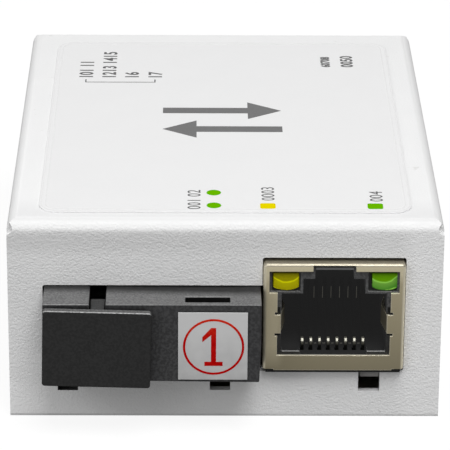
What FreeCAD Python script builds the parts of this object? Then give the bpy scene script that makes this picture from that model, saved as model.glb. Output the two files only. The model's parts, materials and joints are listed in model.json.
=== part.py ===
import FreeCAD, Part
import math
import os
import re
import Sketcher

# A small fibre media converter: a folded steel case round one circuit board, which carries a fibre
# transceiver module and a network jack at the front, and a power jack and a slide switch at the rear.
#
# Frame: origin in the middle of the case's underside, +X to the right seen from the front, +Y to the rear,
# +Z up, millimetres.

V = FreeCAD.Vector
DOC = FreeCAD.newDocument("MediaConverter")

# ------------------------------------------------------------------------------------------- driving sizes

SIZES = {
    # case: cover, base plate, film
    "case_width": 50.5, "case_depth": 65.0, "case_height": 25.0,
    "cover_wall": 1.0, "bend_radius": 0.4, "relief_radius": 0.75, "relief_out": 0.1, "relief_drop": 1.1,
    "seam_gap": 0.12, "base_wall": 1.0, "base_gap": 0.15, "flange_height": 13.0, "flange_setback": 5.5,
    "vent_width": 1.8, "vent_height": 6.0, "vent_pitch": 4.0, "vent_count": 10, "vent_rise": 1.5,
    "film_thickness": 0.2, "film_side": 3.6, "film_front": 2.2, "film_rear": 4.6, "film_corner": 2.2,
    # board and what holds it; post_x is in from the side, lead_tip is down from the board's top
    "standoff_height": 3.8, "standoff_radius": 2.6, "spigot_radius": 2.0, "board_thickness": 1.2,
    "board_gap": 0.3, "board_front": 0.4, "board_rear": 0.5, "sheet_thickness": 0.3, "sheet_gap": 1.0,
    "post_x": 6.25, "front_post_y": 21.0, "rear_post_y": 42.5, "lead_tip": 3.0,
    "tab_setback": 0.8, "notch_width": 2.4, "notch_drop": 1.2, "tab_fit": 0.1, "fit": 0.1, "close_fit": 0.05,
    # notches, each in from the near edge of the module or the jack
    "left_notch": 2.58, "middle_notch": 4.53, "right_notch": 3.84,
    # screws
    "cover_screw_radius": 1.2, "cover_screw_length": 3.4, "cover_head_radius": 2.15, "cover_screw_z": 10.0,
    "cover_screw_y": 22.0, "board_screw_radius": 1.45, "board_screw_length": 4.6, "board_head_radius": 2.7,
    "board_head_height": 1.8, "screw_fit": 0.06, "screw_clearance": 0.15, "cross_width": 0.55,
    "cross_depth": 0.6,
    # fibre module; port_x, slot_x and sticker_x are in from its nearer side
    "module_x": -8.5, "module_width": 25.0, "module_height": 9.4, "module_length": 39.0, "module_reach": 5.55,
    "module_lift": 1.3, "module_wall": 1.0, "module_face": 1.2, "module_draft": 0.2, "module_plate": 0.8,
    "port_x": 6.28, "port_width": 9.1, "port_height": 7.5, "port_depth": 14.0, "port_wall": 1.2,
    "key_width": 1.9, "key_length": 9.0, "slot_x": 5.75, "slot_width": 5.4, "slot_setback": 0.7,
    "slot_length": 1.35, "pin_pitch": 2.54, "pin_radius": 0.25, "pin_setback": 5.0, "pin_hole_gap": 0.15,
    "pin_margin": 2.0, "pin_rise": 1.3,
    "module_post_radius": 0.8, "module_post_x": 9.4, "module_post_y": 13.5,
    "module_foot": 1.0, "foot_inset": 1.5, "foot_near": 8.0, "foot_far": 9.0,
    "small_board": 0.8, "small_board_gap": 0.5, "small_board_reach": 5.0,
    "ferrule_radius": 1.27, "sleeve_radius": 1.6, "sleeve_setback": 0.8, "holder_radius": 2.4,
    "holder_length": 8.6, "collar_length": 1.2, "collar_rim": 0.9,
    "arm_thickness": 0.7, "arm_height": 3.6, "arm_length": 8.0, "arm_gap": 0.25, "arm_plate": 1.0,
    "hook_reach": 0.6, "hook_length": 1.5, "hook_slope": 0.8,
    "barrel_radius": 3.0, "barrel_length": 7.5, "barrel_flat": 0.5, "can_radius": 2.3, "can_length": 3.6,
    # dust cap and sticker
    "cap_width": 12.35, "cap_height": 9.3, "cap_flange": 1.25, "cap_gap": 0.15, "cap_tilt": 0.5,
    "cap_corner": 0.35, "plug_length": 4.2, "plug_wall": 1.0, "plug_fit": 0.15, "cap_key_length": 3.2,
    "cap_key_rise": 0.55, "cap_sag": 0.1, "sticker_x": 5.3, "sticker_width": 8.0, "sticker_height": 8.5,
    "sticker_rise": 0.15, "sticker_thickness": 0.12,
    # network jack; jack_x is from the module's side, its levels are up from the shield's lower edge
    "jack_x": 8.645, "jack_width": 16.45, "jack_reach": 0.92, "jack_length": 21.2, "shield_lift": 0.43,
    "shield_height": 13.51, "shield_sheet": 0.3, "shield_bend": 0.42, "plug_half": 6.585, "plug_floor": 1.89,
    "light_half": 7.545, "light_floor": 9.85, "light_ceiling": 12.58, "latch_half": 2.48, "latch_edge": 0.2,
    "tongue_half": 6.195, "tongue_low": 4.72, "tongue_high": 7.06, "tongue_bend": 3.2, "tongue_length": 5.8,
    "tongue_lean": 0.55, "relief_half": 6.88, "relief_height": 0.35,
    "step_left": 1.28, "step_right": 1.37, "step_rise": 0.15,
    "leg_near": 7.2, "leg_width": 1.6, "leg_gap": 0.15, "leg_lap": 1.0,
    "insert_half": 6.095, "insert_floor": 2.39, "trough_half": 3.9, "trough_floor": 1.87,
    "block_half": 3.605, "block_floor": 9.67, "ledge_half": 2.245, "ledge_floor": 11.52, "insert_depth": 12.6,
    "insert_length": 17.5, "insert_roof": 0.25, "recess_depth": 6.3, "recess_half": 6.945,
    # its contacts, with levels up from the board's top, and its lights
    "contact_pitch": 1.02, "contact_width": 0.36, "contact_sheet": 0.3, "contact_start": 1.5,
    "contact_run": 14.2, "run_level": 1.05, "bend_level": 3.1, "slope_level": 3.72, "comb_top": 6.6,
    "comb_depth": 1.4, "slot_gap": 0.25, "contact_slack": 0.5, "contact_drop": 1.0,
    "lens_width": 3.05, "lens_height": 2.3, "lens_length": 5.0, "lens_setback": 0.45, "lens_offset": 5.6,
    "lens_curve": 3.1, "lens_drop": 0.3, "lens_gap": 0.15, "lens_lead_x": 0.64, "lens_lead": 0.4,
    "lens_lead_level": 1.0, "lens_lead_gap": 0.5,
    # panel cut-out round the module and the jack
    "sill_drop": 0.12, "module_side_gap": 0.2, "module_top_gap": 0.15, "jack_side_gap": 0.1,
    "jack_top_gap": 0.44, "cutout_corner": 0.3,
    # light guide, set over and behind the jack, and its lamps
    "window_x": -1.34, "window_near": 4.12, "window_far": 8.0, "window_radius": 1.0, "guide_post": 0.85,
    "guide_width": 1.6, "guide_level": 0.76, "guide_leg_x": 5.445, "guide_leg_y": 3.72, "guide_arm_x": 1.545,
    "guide_tie_y": 5.0, "guide_tie": 0.8, "guide_gap": 0.3, "foot_height": 1.2, "foot_depth": 1.6,
    "peg_radius": 0.6, "peg_y": 0.65,
    "lamp_height": 0.8, "lamp_width": 2.0, "lamp_length": 1.2, "lamp_gap": 0.2,
    # power jack, with power_x in from the case's right side
    "power_x": 10.25, "power_width": 9.0, "power_height": 11.0, "power_length": 14.0, "power_bore": 3.2,
    "power_axis": 6.5, "power_depth": 9.5, "power_pin": 1.05, "power_root": 1.35, "power_reach": 0.3,
    "power_gap": 0.3, "power_tip": 0.8, "power_tail": 0.6, "tail_half": 1.0, "tail_gap": 0.1,
    "spring_setback": 0.3, "spring_half": 1.0, "spring_sheet": 0.4, "spring_gap": 0.2, "spring_mouth": 1.5,
    "spring_crest": 4.5, "spring_lift": 0.3, "spring_dip": 0.1, "spring_tip": 2.0,
    # slide switch, with switch_x in from the case's left side
    "switch_x": 12.15, "switch_width": 11.7, "switch_height": 7.6, "switch_length": 9.0, "switch_gap": 0.3,
    "switch_pitch": 2.54, "switch_pin_y": 1.0, "slide_width": 1.0, "slide_face": 0.7, "slide_travel": 1.6,
    "slide_fit": 0.08, "stem_height": 1.3, "stem_reach": 0.7, "stem_root": 0.2, "shoe_width": 1.6,
    "shoe_height": 2.2, "shoe_depth": 1.3, "slide_low": 2.4,
    # parts on the board, each in from the nearer side and behind or before its neighbour
    "lead_pitch": 1.27, "lead_width": 0.4, "lead_sheet": 0.15, "lead_reach": 1.3, "lead_knee": 0.4,
    "chip_lift": 0.1, "chip_x": -6.5, "chip_y": 9.55,
    "chip_width": 12.0, "chip_height": 1.4, "chip_lead": 0.8,
    "sink_height": 6.0, "sink_fins": 6, "sink_inset": 0.5, "sink_floor": 1.2, "sink_fin": 0.8,
    "transformer_x": 10.05, "transformer_y": 12.92, "transformer_width": 9.4, "transformer_length": 12.0,
    "transformer_height": 5.6, "transformer_lift": 0.2, "transformer_lead": 1.5,
    "crystal_x": 7.25, "crystal_y": 5.5, "crystal_width": 4.6, "crystal_length": 5.2, "crystal_height": 3.5,
    "crystal_corner": 2.2, "capacitor_x": 5.6, "capacitor_y": 6.0, "capacitor_radius": 2.5,
    "capacitor_height": 7.0, "capacitor_pitch": 6.2, "inductor_x": 5.6, "inductor_y": 13.05,
    "inductor_width": 6.0, "inductor_height": 3.0, "inductor_well": 2.16, "well_depth": 0.5,
    "memory_x": 7.75, "memory_y": 3.15, "memory_width": 3.9, "memory_length": 4.9, "memory_height": 1.5,
    "regulator_x": 12.85, "regulator_y": 5.3, "regulator_width": 6.5, "regulator_length": 3.5,
    "regulator_height": 1.7, "small_width": 1.2, "small_length": 2.0, "small_height": 0.9, "small_pitch": 2.6,
    "small_gap": 4.5,
}

SHEET = DOC.addObject("Spreadsheet::Sheet", "Sizes")
for row, (word, size) in enumerate(SIZES.items(), start=1):
    SHEET.set(f"A{row}", word)
    SHEET.set(f"B{row}", str(size))
    SHEET.setAlias(f"B{row}", word)
DOC.recompute()

# Planes and levels that several pieces share, as formulas on the sheet.
PLACES = {
    "side": "case_width / 2", "front": "-case_depth / 2", "rear": "case_depth / 2",
    "inner_side": "side - cover_wall", "inner_front": "front + cover_wall", "inner_rear": "rear - cover_wall",
    "inner_top": "case_height - cover_wall",
    "flange_outside": "inner_side - base_gap", "flange_inside": "flange_outside - base_wall",
    "board_bottom": "base_wall + standoff_height", "board_top": "board_bottom + board_thickness",
    "board_side": "flange_inside - board_gap", "lead_end": "board_top - lead_tip",
    "board_near": "inner_front + board_front", "board_far": "inner_rear - board_rear",
    "post_side": "side - post_x",
    "tab_left": "module_left + left_notch", "tab_middle": "module_right - middle_notch",
    "tab_right": "jack_right - right_notch",
    "module_left": "module_x - module_width / 2", "module_right": "module_x + module_width / 2",
    "module_bottom": "board_top + module_lift", "module_top": "module_bottom + module_height",
    "module_front": "front - module_reach", "module_back": "module_front + module_length",
    "module_middle": "module_bottom + module_height / 2",
    "port_middle": "module_left + port_x", "slot_middle": "module_right - slot_x",
    "sticker_middle": "module_right - sticker_x",
    "port_left": "port_middle - port_width / 2", "port_right": "port_middle + port_width / 2",
    "port_low": "module_middle - port_height / 2", "port_high": "module_middle + port_height / 2",
    "port_back": "module_front + port_depth",
    "pin_row": "module_back - pin_setback",
    "jack_middle": "module_right + jack_x",
    "jack_left": "jack_middle - jack_width / 2", "jack_right": "jack_middle + jack_width / 2",
    "jack_front": "front - jack_reach", "jack_back": "jack_front + jack_length",
    "shield_bottom": "board_top + shield_lift", "shield_top": "shield_bottom + shield_height",
    "plug_low": "shield_bottom + plug_floor", "light_low": "shield_bottom + light_floor",
    "light_high": "shield_bottom + light_ceiling",
    "tongue_under": "shield_bottom + tongue_low", "tongue_over": "shield_bottom + tongue_high",
    "insert_low": "shield_bottom + insert_floor", "trough_low": "shield_bottom + trough_floor",
    "block_low": "shield_bottom + block_floor", "ledge_low": "shield_bottom + ledge_floor",
    "insert_front": "jack_front + shield_sheet + close_fit", "insert_back": "insert_front + insert_length",
    "insert_top": "shield_top - shield_sheet - close_fit", "cavity_back": "insert_front + insert_depth",
    "contact_near": "insert_front + contact_start", "contact_tail": "insert_front + contact_run",
    "comb_high": "board_top + comb_top",
    "light_lead_y": "insert_back + lens_lead_gap", "light_lead_z": "light_low + lens_lead_level",
    "guide_low": "shield_top + guide_level", "guide_top": "guide_low + guide_width",
    "guide_leg": "jack_middle - guide_leg_x", "guide_arm": "jack_middle - guide_arm_x",
    "guide_row": "jack_back + guide_leg_y", "guide_back": "guide_row + guide_width / 2",
    "lamp_top": "board_top + lamp_height",
    "power_centre": "side - power_x", "power_back": "rear + power_reach",
    "power_front": "power_back - power_length", "power_middle": "board_top + power_axis",
    "power_end": "power_back - power_depth", "bore_floor": "power_middle - power_bore",
    "spring_root": "power_end + spring_setback",
    "switch_centre": "-side + switch_x", "switch_back": "rear", "switch_front": "rear - switch_length",
    "switch_bottom": "board_top", "switch_top": "board_top + switch_height",
    "slide_bottom": "board_top + slide_low",
    "chip_middle": "module_back + chip_y",
    "transformer_centre": "side - transformer_x", "transformer_middle": "jack_back + transformer_y",
    "crystal_centre": "-side + crystal_x", "crystal_back": "switch_front - crystal_y",
    "capacitor_middle": "rear - capacitor_y", "inductor_middle": "module_back + inductor_y",
    "memory_centre": "-side + memory_x", "memory_middle": "module_back + memory_y",
    "regulator_centre": "side - regulator_x",
    "regulator_middle": "transformer_middle + transformer_length / 2 + regulator_y",
}

PROBE = DOC.addObject("App::FeaturePython", "Probe")
PROBE.addProperty("App::PropertyFloat", "Value")


def on_sheet(text):
    """Turn the size and place names in a formula into references to the sheet."""
    def swap(match):
        word = match.group(0)
        if word in PLACES:
            return f"({on_sheet(PLACES[word])})"
        if word in SIZES:
            return f"Sizes.{word}"
        raise NameError(f"unknown size {word} in {text}")
    return re.sub(r"[a-z][a-z_]+", swap, str(text))


def measure(text):
    """The present value of a formula."""
    PROBE.setExpression("Value", on_sheet(text))
    PROBE.recompute()
    return PROBE.Value


# ------------------------------------------------------------------------------------------ drawing tools

TURN = {
    "XY": FreeCAD.Rotation(),
    "XZ": FreeCAD.Rotation(V(1, 0, 0), 90),
    "YZ": FreeCAD.Rotation(V(1, 1, 1), 120),
}
AXIS_TURN = {
    "x": FreeCAD.Rotation(V(0, 1, 0), 90),
    "y": FreeCAD.Rotation(V(1, 0, 0), -90),
    "z": FreeCAD.Rotation(),
}
NORMAL = {"XY": "z", "XZ": "y", "YZ": "x"}


def rect(left, right, low, high, radius=None):
    """Corners of a rectangle, rounded where a radius is given."""
    corners = [(left, low), (right, low), (right, high), (left, high)]
    return [corner + ((radius,) if radius else ()) for corner in corners]


def circle(x, y, radius):
    return ("circle", x, y, radius)


def pin_point(sketch, edge, end, x, y=None):
    """Hold one point of a sketch by its distances from the origin."""
    for kind, text in (("DistanceX", x), ("DistanceY", y)):
        if text is None:
            continue
        index = sketch.addConstraint(Sketcher.Constraint(kind, -1, 1, edge, end, measure(text)))
        sketch.renameConstraint(index, f"d{index}")
        sketch.setExpression(f"Constraints.d{index}", on_sheet(text))


def draw_circle(sketch, x, y, radius):
    edge = sketch.addGeometry(Part.Circle(V(measure(x), measure(y), 0), V(0, 0, 1), measure(radius)), False)
    pin_point(sketch, edge, 3, x, y)
    index = sketch.addConstraint(Sketcher.Constraint("Radius", edge, measure(radius)))
    sketch.renameConstraint(index, f"r{index}")
    sketch.setExpression(f"Constraints.r{index}", on_sheet(radius))


def draw_outline(sketch, corners):
    """Draw a closed outline through its corners; a third value rounds a square corner."""
    count = len(corners)
    spots = [V(measure(corner[0]), measure(corner[1]), 0) for corner in corners]
    arrive, leave = [], []
    for i, corner in enumerate(corners):
        x, y = corner[0], corner[1]
        if len(corner) == 2:
            arrive.append((x, y))
            leave.append((x, y))
            continue
        into = (spots[i] - spots[i - 1]).normalize()
        away = (spots[(i + 1) % count] - spots[i]).normalize()
        arrive.append((f"({x}) - ({corner[2]}) * {into.x:.0f}", f"({y}) - ({corner[2]}) * {into.y:.0f}"))
        leave.append((f"({x}) + ({corner[2]}) * {away.x:.0f}", f"({y}) + ({corner[2]}) * {away.y:.0f}"))
    point = {text: V(measure(text[0]), measure(text[1]), 0) for text in arrive + leave}
    lines = []
    for i in range(count):
        start, end = leave[i], arrive[(i + 1) % count]
        lines.append(sketch.addGeometry(Part.LineSegment(point[start], point[end]), False))
        pin_point(sketch, lines[i], 1, *start)
        if len(corners[(i + 1) % count]) == 3:
            pin_point(sketch, lines[i], 2, *end)
    for i in range(count):
        if len(corners[i]) == 2:
            sketch.addConstraint(Sketcher.Constraint("Coincident", lines[i - 1], 2, lines[i], 1))
            continue
        first, last = point[arrive[i]], point[leave[i]]
        centre = first + last - spots[i]
        turns_left = (spots[i] - first).cross(last - spots[i]).z > 0
        ends = (first, last) if turns_left else (last, first)
        angles = [math.atan2(end.y - centre.y, end.x - centre.x) for end in ends]
        ring = Part.Circle(centre, V(0, 0, 1), (first - centre).Length)
        arc = sketch.addGeometry(Part.ArcOfCircle(ring, *angles), False)
        tips = (1, 2) if turns_left else (2, 1)
        sketch.addConstraint(Sketcher.Constraint("Coincident", lines[i - 1], 2, arc, tips[0]))
        sketch.addConstraint(Sketcher.Constraint("Coincident", lines[i], 1, arc, tips[1]))
        middle = f"({arrive[i][0]}) + ({leave[i][0]}) - ({corners[i][0]})"
        pin_point(sketch, arc, 3, middle)


def draw(sketch, loops):
    for loop in loops:
        if loop[0] == "circle":
            draw_circle(sketch, *loop[1:])
        else:
            draw_outline(sketch, loop)


def new_body(name):
    body = DOC.addObject("PartDesign::Body", name)
    body.Label = name
    return body


def feature(body, kind, name, plane, loops, start, end):
    """Pad or pocket an outline of a body from one level to a higher one, along the plane's axis."""
    sketch = body.newObject("Sketcher::SketchObject", f"{body.Name}_{name}_sketch")
    origin_plane = next(item for item in body.Origin.OriginFeatures if item.Role == f"{plane}_Plane")
    sketch.AttachmentSupport = [(origin_plane, "")]
    sketch.MapMode = "FlatFace"
    offset = f"-({start})" if plane == "XZ" else start
    sketch.setExpression("AttachmentOffset.Base.z", on_sheet(offset))
    draw(sketch, loops)
    step = body.newObject(f"PartDesign::{kind}", f"{body.Name}_{name}")
    step.Profile = sketch
    step.setExpression("Length", on_sheet(f"({end}) - ({start})"))
    step.Reversed = (plane == "XZ") if kind == "Pad" else (plane != "XZ")
    return step


def dress(body, kind, name, size, chosen):
    """Fillet or chamfer the edges of a body that the given test picks."""
    DOC.recompute()
    base = body.Tip
    picked = [f"Edge{i + 1}" for i, edge in enumerate(base.Shape.Edges) if chosen(edge)]
    if not picked:
        raise ValueError(f"no edge picked for {name} of {body.Name}")
    step = body.newObject(f"PartDesign::{kind}", f"{body.Name}_{name}")
    step.Base = (base, picked)
    step.setExpression("Radius" if kind == "Fillet" else "Size", on_sheet(size))
    return step


def near(first, second):
    return abs(first - second) < 1e-4


def runs_along(edge, axis):
    """True for a straight edge parallel to an axis."""
    box = edge.BoundBox
    lengths = {"x": box.XLength, "y": box.YLength, "z": box.ZLength}
    return near(lengths[axis], edge.Length)


def box(name, x, y, z):
    """A block between two planes on each axis."""
    block = DOC.addObject("Part::Box", name)
    for axis, side, (low, high) in zip("xyz", ("Length", "Width", "Height"), (x, y, z)):
        block.setExpression(f"Placement.Base.{axis}", on_sheet(low))
        block.setExpression(side, on_sheet(f"({high}) - ({low})"))
    return block


def place_round(item, axis, across, start):
    item.Placement = FreeCAD.Placement(V(), AXIS_TURN[axis])
    spots = dict(zip([letter for letter in "xyz" if letter != axis], across))
    spots[axis] = start
    for letter, text in spots.items():
        item.setExpression(f"Placement.Base.{letter}", on_sheet(text))


def rod(name, axis, across, radius, start, end):
    """A cylinder along an axis, at the two coordinates across it."""
    item = DOC.addObject("Part::Cylinder", name)
    place_round(item, axis, across, start)
    item.setExpression("Radius", on_sheet(radius))
    item.setExpression("Height", on_sheet(f"({end}) - ({start})"))
    return item


def cone(name, axis, across, first_radius, last_radius, start, end):
    item = DOC.addObject("Part::Cone", name)
    place_round(item, axis, across, start)
    item.setExpression("Radius1", on_sheet(first_radius))
    item.setExpression("Radius2", on_sheet(last_radius))
    item.setExpression("Height", on_sheet(f"({end}) - ({start})"))
    return item


def prism(name, plane, loops, start, end):
    """An outline drawn in a plane and run from one level to a higher one."""
    sketch = DOC.addObject("Sketcher::SketchObject", f"{name}_sketch")
    sketch.Placement = FreeCAD.Placement(V(), TURN[plane])
    sketch.setExpression(f"Placement.Base.{NORMAL[plane]}", on_sheet(start))
    draw(sketch, loops)
    run = DOC.addObject("Part::Extrusion", name)
    run.Base = sketch
    run.DirMode = "Normal"
    run.Solid = True
    run.Reversed = plane == "XZ"
    run.setExpression("LengthFwd", on_sheet(f"({end}) - ({start})"))
    return run


def cut(name, base, *tools):
    """Take one or more tools out of a base."""
    tool = tools[0]
    if len(tools) > 1:
        tool = fuse(f"{name}_tools", *tools)
    result = DOC.addObject("Part::Cut", name)
    result.Base = base
    result.Tool = tool
    return result


def fuse(name, *pieces):
    result = DOC.addObject("Part::MultiFuse", name)
    result.Shapes = list(pieces)
    result.Refine = True
    return result


def group(name, *pieces):
    """Separate solids of one kind that share a file."""
    result = DOC.addObject("Part::Compound", name)
    result.Links = list(pieces)
    return result


NODES = []


def keep(item, name):
    item.Label = name
    NODES.append(item)
    return item


def signs():
    return (("left", "-"), ("right", "+"))


# --------------------------------------------------------------------------------------------------- case

def panel_cutout():
    """One stepped opening for the module and the jack, with three notches for the board's tabs."""
    sill = "board_top - sill_drop"
    floor = "board_bottom - notch_drop"
    corners = [("module_left - module_side_gap", sill, "cutout_corner")]
    for notch in ("tab_left", "tab_middle", "tab_right"):
        low, high = f"{notch} - notch_width / 2", f"{notch} + notch_width / 2"
        corners += [(low, sill), (low, floor), (high, floor), (high, sill)]
    step_x = "jack_left - jack_side_gap"
    corners += [
        ("jack_right + jack_side_gap", sill, "cutout_corner"),
        ("jack_right + jack_side_gap", "shield_top + jack_top_gap", "cutout_corner"),
        (step_x, "shield_top + jack_top_gap", "cutout_corner"),
        (step_x, "module_top + module_top_gap"),
        ("module_left - module_side_gap", "module_top + module_top_gap", "cutout_corner"),
    ]
    return corners


def case_cover():
    body = new_body("case_cover_folded")
    feature(body, "Pad", "blank", "XY", [rect("-side", "side", "front", "rear")], "0", "case_height")
    dress(body, "Fillet", "bends", "bend_radius + cover_wall",
          lambda edge: near(edge.BoundBox.ZMin, measure("case_height")))
    feature(body, "Pocket", "hollow", "XY", [rect("-inner_side", "inner_side", "inner_front", "inner_rear")],
            "0", "inner_top")
    dress(body, "Fillet", "inner_bends", "bend_radius",
          lambda edge: near(edge.BoundBox.ZMin, measure("inner_top"))
          and near(edge.BoundBox.ZMax, measure("inner_top")))
    feature(body, "Pocket", "front_cutout", "XZ", [panel_cutout()], "front", "inner_front")
    rear_openings = [
        rect("power_centre - power_width / 2 - power_gap", "power_centre + power_width / 2 + power_gap",
             "board_top - sill_drop", "board_top + power_height + power_gap"),
        rect("switch_centre - switch_width / 2 - switch_gap", "switch_centre + switch_width / 2 + switch_gap",
             "board_top - sill_drop", "switch_top + switch_gap"),
    ]
    feature(body, "Pocket", "rear_cutouts", "XZ", rear_openings, "inner_rear", "rear")
    first_vent = "-(vent_count - 1) * vent_pitch / 2"
    vent = rect(f"{first_vent} - vent_width / 2", f"{first_vent} + vent_width / 2",
                "flange_height + vent_rise", "flange_height + vent_rise + vent_height")
    slot = feature(body, "Pocket", "vents", "YZ", [vent], "-side", "side")
    row = body.newObject("PartDesign::LinearPattern", "case_cover_vent_row")
    row.Originals = [slot]
    row.Direction = (slot.Profile[0], ["H_Axis"])
    row.setExpression("Length", on_sheet("(vent_count - 1) * vent_pitch"))
    row.setExpression("Occurrences", on_sheet("vent_count"))
    body.Tip = row
    tools = []
    for side, sign in signs():
        for end, other in (("front", "-"), ("rear", "+")):
            scoop = ("front", "front + relief_radius") if end == "front" else ("rear - relief_radius", "rear")
            spot = (f"{sign}(side + relief_out)", "case_height - relief_drop")
            tools.append(rod(f"relief_{side}_{end}", "y", spot, "relief_radius", *scoop))
            x = (f"{sign}inner_side", f"{sign}side") if sign == "+" else ("-side", "-inner_side")
            y = (("inner_front", "inner_front + seam_gap") if end == "front"
                 else ("inner_rear - seam_gap", "inner_rear"))
            tools.append(box(f"seam_{side}_{end}", x, y, ("0", "inner_top - bend_radius")))
            y_screw = f"{other}cover_screw_y"
            out = ("side - cover_wall", "side") if sign == "+" else ("-side", "-side + cover_wall")
            radii = ("cover_screw_radius + screw_fit", "cover_head_radius + screw_fit")
            tools.append(cone(f"countersink_{side}_{end}", "x", (y_screw, "cover_screw_z"),
                              *(radii if sign == "+" else radii[::-1]), *out))
    for place in ("window_near", "window_far"):
        tools.append(rod(f"{place}_hole", "z", ("window_x", f"front + {place}"), "window_radius",
                         "inner_top", "case_height"))
    return keep(cut("case_cover", body, *tools), "case_cover")


def base_plate():
    body = new_body("base_plate")
    y = ("inner_front + base_gap", "inner_rear - base_gap")
    feature(body, "Pad", "floor", "XY", [rect("-flange_outside", "flange_outside", *y)], "0", "base_wall")
    for side, sign in signs():
        x = ("flange_inside", "flange_outside") if sign == "+" else ("-flange_outside", "-flange_inside")
        flange = rect(*x, "front + flange_setback", "rear - flange_setback")
        feature(body, "Pad", f"{side}_flange", "XY", [flange], "0", "flange_height")
    dress(body, "Fillet", "bends", "bend_radius + base_wall",
          lambda edge: runs_along(edge, "y") and near(edge.BoundBox.ZMax, 0)
          and near(abs(edge.BoundBox.XMin), measure("flange_outside")))
    holes = [hexagon(*spot, "(spigot_radius + screw_fit)") for spot in post_places()]
    feature(body, "Pocket", "standoff_holes", "XY", holes, "0", "base_wall")
    screw_holes = [circle(f"{sign}cover_screw_y", "cover_screw_z", "cover_screw_radius + screw_fit")
                   for _, sign in signs()]
    feature(body, "Pocket", "screw_holes", "YZ", screw_holes, "-side", "side")
    return keep(body, "base_plate")


def post_places():
    return [(f"{sign}post_side", f"front + {end}")
            for end in ("front_post_y", "rear_post_y") for _, sign in signs()]


def hexagon(x, y, radius):
    """Six corners at a radius about a point, two of them on the X axis."""
    turns = [math.radians(60 * i) for i in range(6)]
    return [(f"{x} + {math.cos(turn):.6f} * {radius}", f"{y} + {math.sin(turn):.6f} * {radius}")
            for turn in turns]


def square(x, y, half):
    return rect(f"{x} - ({half})", f"{x} + ({half})", f"{y} - ({half})", f"{y} + ({half})")


def board_standoffs():
    """Hexagonal posts pressed into the base plate; the rear two are bored for the board's screws."""
    posts = []
    for i, spot in enumerate(post_places(), start=1):
        post = fuse(f"standoff_{i}_post",
                    prism(f"standoff_{i}_barrel", "XY", [hexagon(*spot, "standoff_radius")],
                          "base_wall", "board_bottom"),
                    prism(f"standoff_{i}_spigot", "XY", [hexagon(*spot, "spigot_radius")], "0", "base_wall"))
        if "rear_post_y" in spot[1]:
            bore = rod(f"standoff_{i}_bore", "z", spot, "board_screw_radius + screw_fit", "0", "board_bottom")
            post = cut(f"standoff_{i}", post, bore)
        posts.append(post)
    return keep(group("board_standoffs", *posts), "board_standoffs")


def cross_recess(name, axis, across, reach, start, end):
    """Two crossed slots for the driver, between two levels along the screw's axis."""
    first, second = [letter for letter in "xyz" if letter != axis]
    slots = []
    for i, (long_way, short_way) in enumerate(((first, second), (second, first)), start=1):
        spans = {axis: (start, end)}
        centre = dict(zip((first, second), across))
        spans[long_way] = (f"{centre[long_way]} - {reach}", f"{centre[long_way]} + {reach}")
        spans[short_way] = (f"{centre[short_way]} - cross_width / 2",
                            f"{centre[short_way]} + cross_width / 2")
        slots.append(box(f"{name}_slot_{i}", spans["x"], spans["y"], spans["z"]))
    return slots


def cover_screws():
    screws = []
    for side, sign in signs():
        for end, other in (("front", "-"), ("rear", "+")):
            name = f"cover_screw_{side}_{end}"
            spot = (f"{other}cover_screw_y", "cover_screw_z")
            if sign == "+":
                head = ("side - cover_wall", "side")
                shank = ("side - cover_screw_length", "side - cover_wall")
                radii = ("cover_screw_radius", "cover_head_radius")
                recess = ("side - cross_depth", "side")
            else:
                head = ("-side", "-side + cover_wall")
                shank = ("-side + cover_wall", "-side + cover_screw_length")
                radii = ("cover_head_radius", "cover_screw_radius")
                recess = ("-side", "-side + cross_depth")
            solid = fuse(f"{name}_blank", cone(f"{name}_head", "x", spot, *radii, *head),
                         rod(f"{name}_shank", "x", spot, "cover_screw_radius", *shank))
            screws.append(cut(name, solid, *cross_recess(name, "x", spot, "cover_screw_radius", *recess)))
    return keep(group("cover_screws", *screws), "cover_screws")


def board_screws():
    screws = []
    for side, sign in signs():
        name = f"board_screw_{side}"
        spot = (f"{sign}post_side", "front + rear_post_y")
        top = "board_top + board_head_height"
        head = rod(f"{name}_head", "z", spot, "board_head_radius", "board_top", top)
        shank = rod(f"{name}_shank", "z", spot, "board_screw_radius",
                    "board_top - board_screw_length", "board_top")
        screws.append(fuse(name, head, shank))
    return keep(group("board_screws", *screws), "board_screws")


def insulating_sheet():
    body = new_body("insulating_sheet")
    y = ("inner_front + base_gap + sheet_gap", "inner_rear - base_gap - sheet_gap")
    outline = rect("-flange_inside + sheet_gap", "flange_inside - sheet_gap", *y)
    holes = [square(*spot, "standoff_radius + fit") for spot in post_places()]
    feature(body, "Pad", "film", "XY", [outline] + holes, "base_wall", "base_wall + sheet_thickness")
    return keep(body, "insulating_sheet")


def top_overlay():
    body = new_body("top_overlay")
    outline = rect("-side + film_side", "side - film_side", "front + film_front", "rear - film_rear",
                   "film_corner")
    feature(body, "Pad", "film", "XY", [outline], "case_height", "case_height + film_thickness")
    return keep(body, "top_overlay")


# ------------------------------------------------------------------------------------------ fibre module

def module_pins():
    """One row of square pins, as many as the module's width takes at their pitch."""
    count = math.floor(measure("(module_width - 2 * pin_margin) / pin_pitch")) + 1
    return [(f"module_x + {i - (count - 1) / 2} * pin_pitch", "pin_row") for i in range(count)]


def module_post_places():
    return [(f"module_x {sign} module_post_x", "front + module_post_y") for _, sign in signs()]


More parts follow.
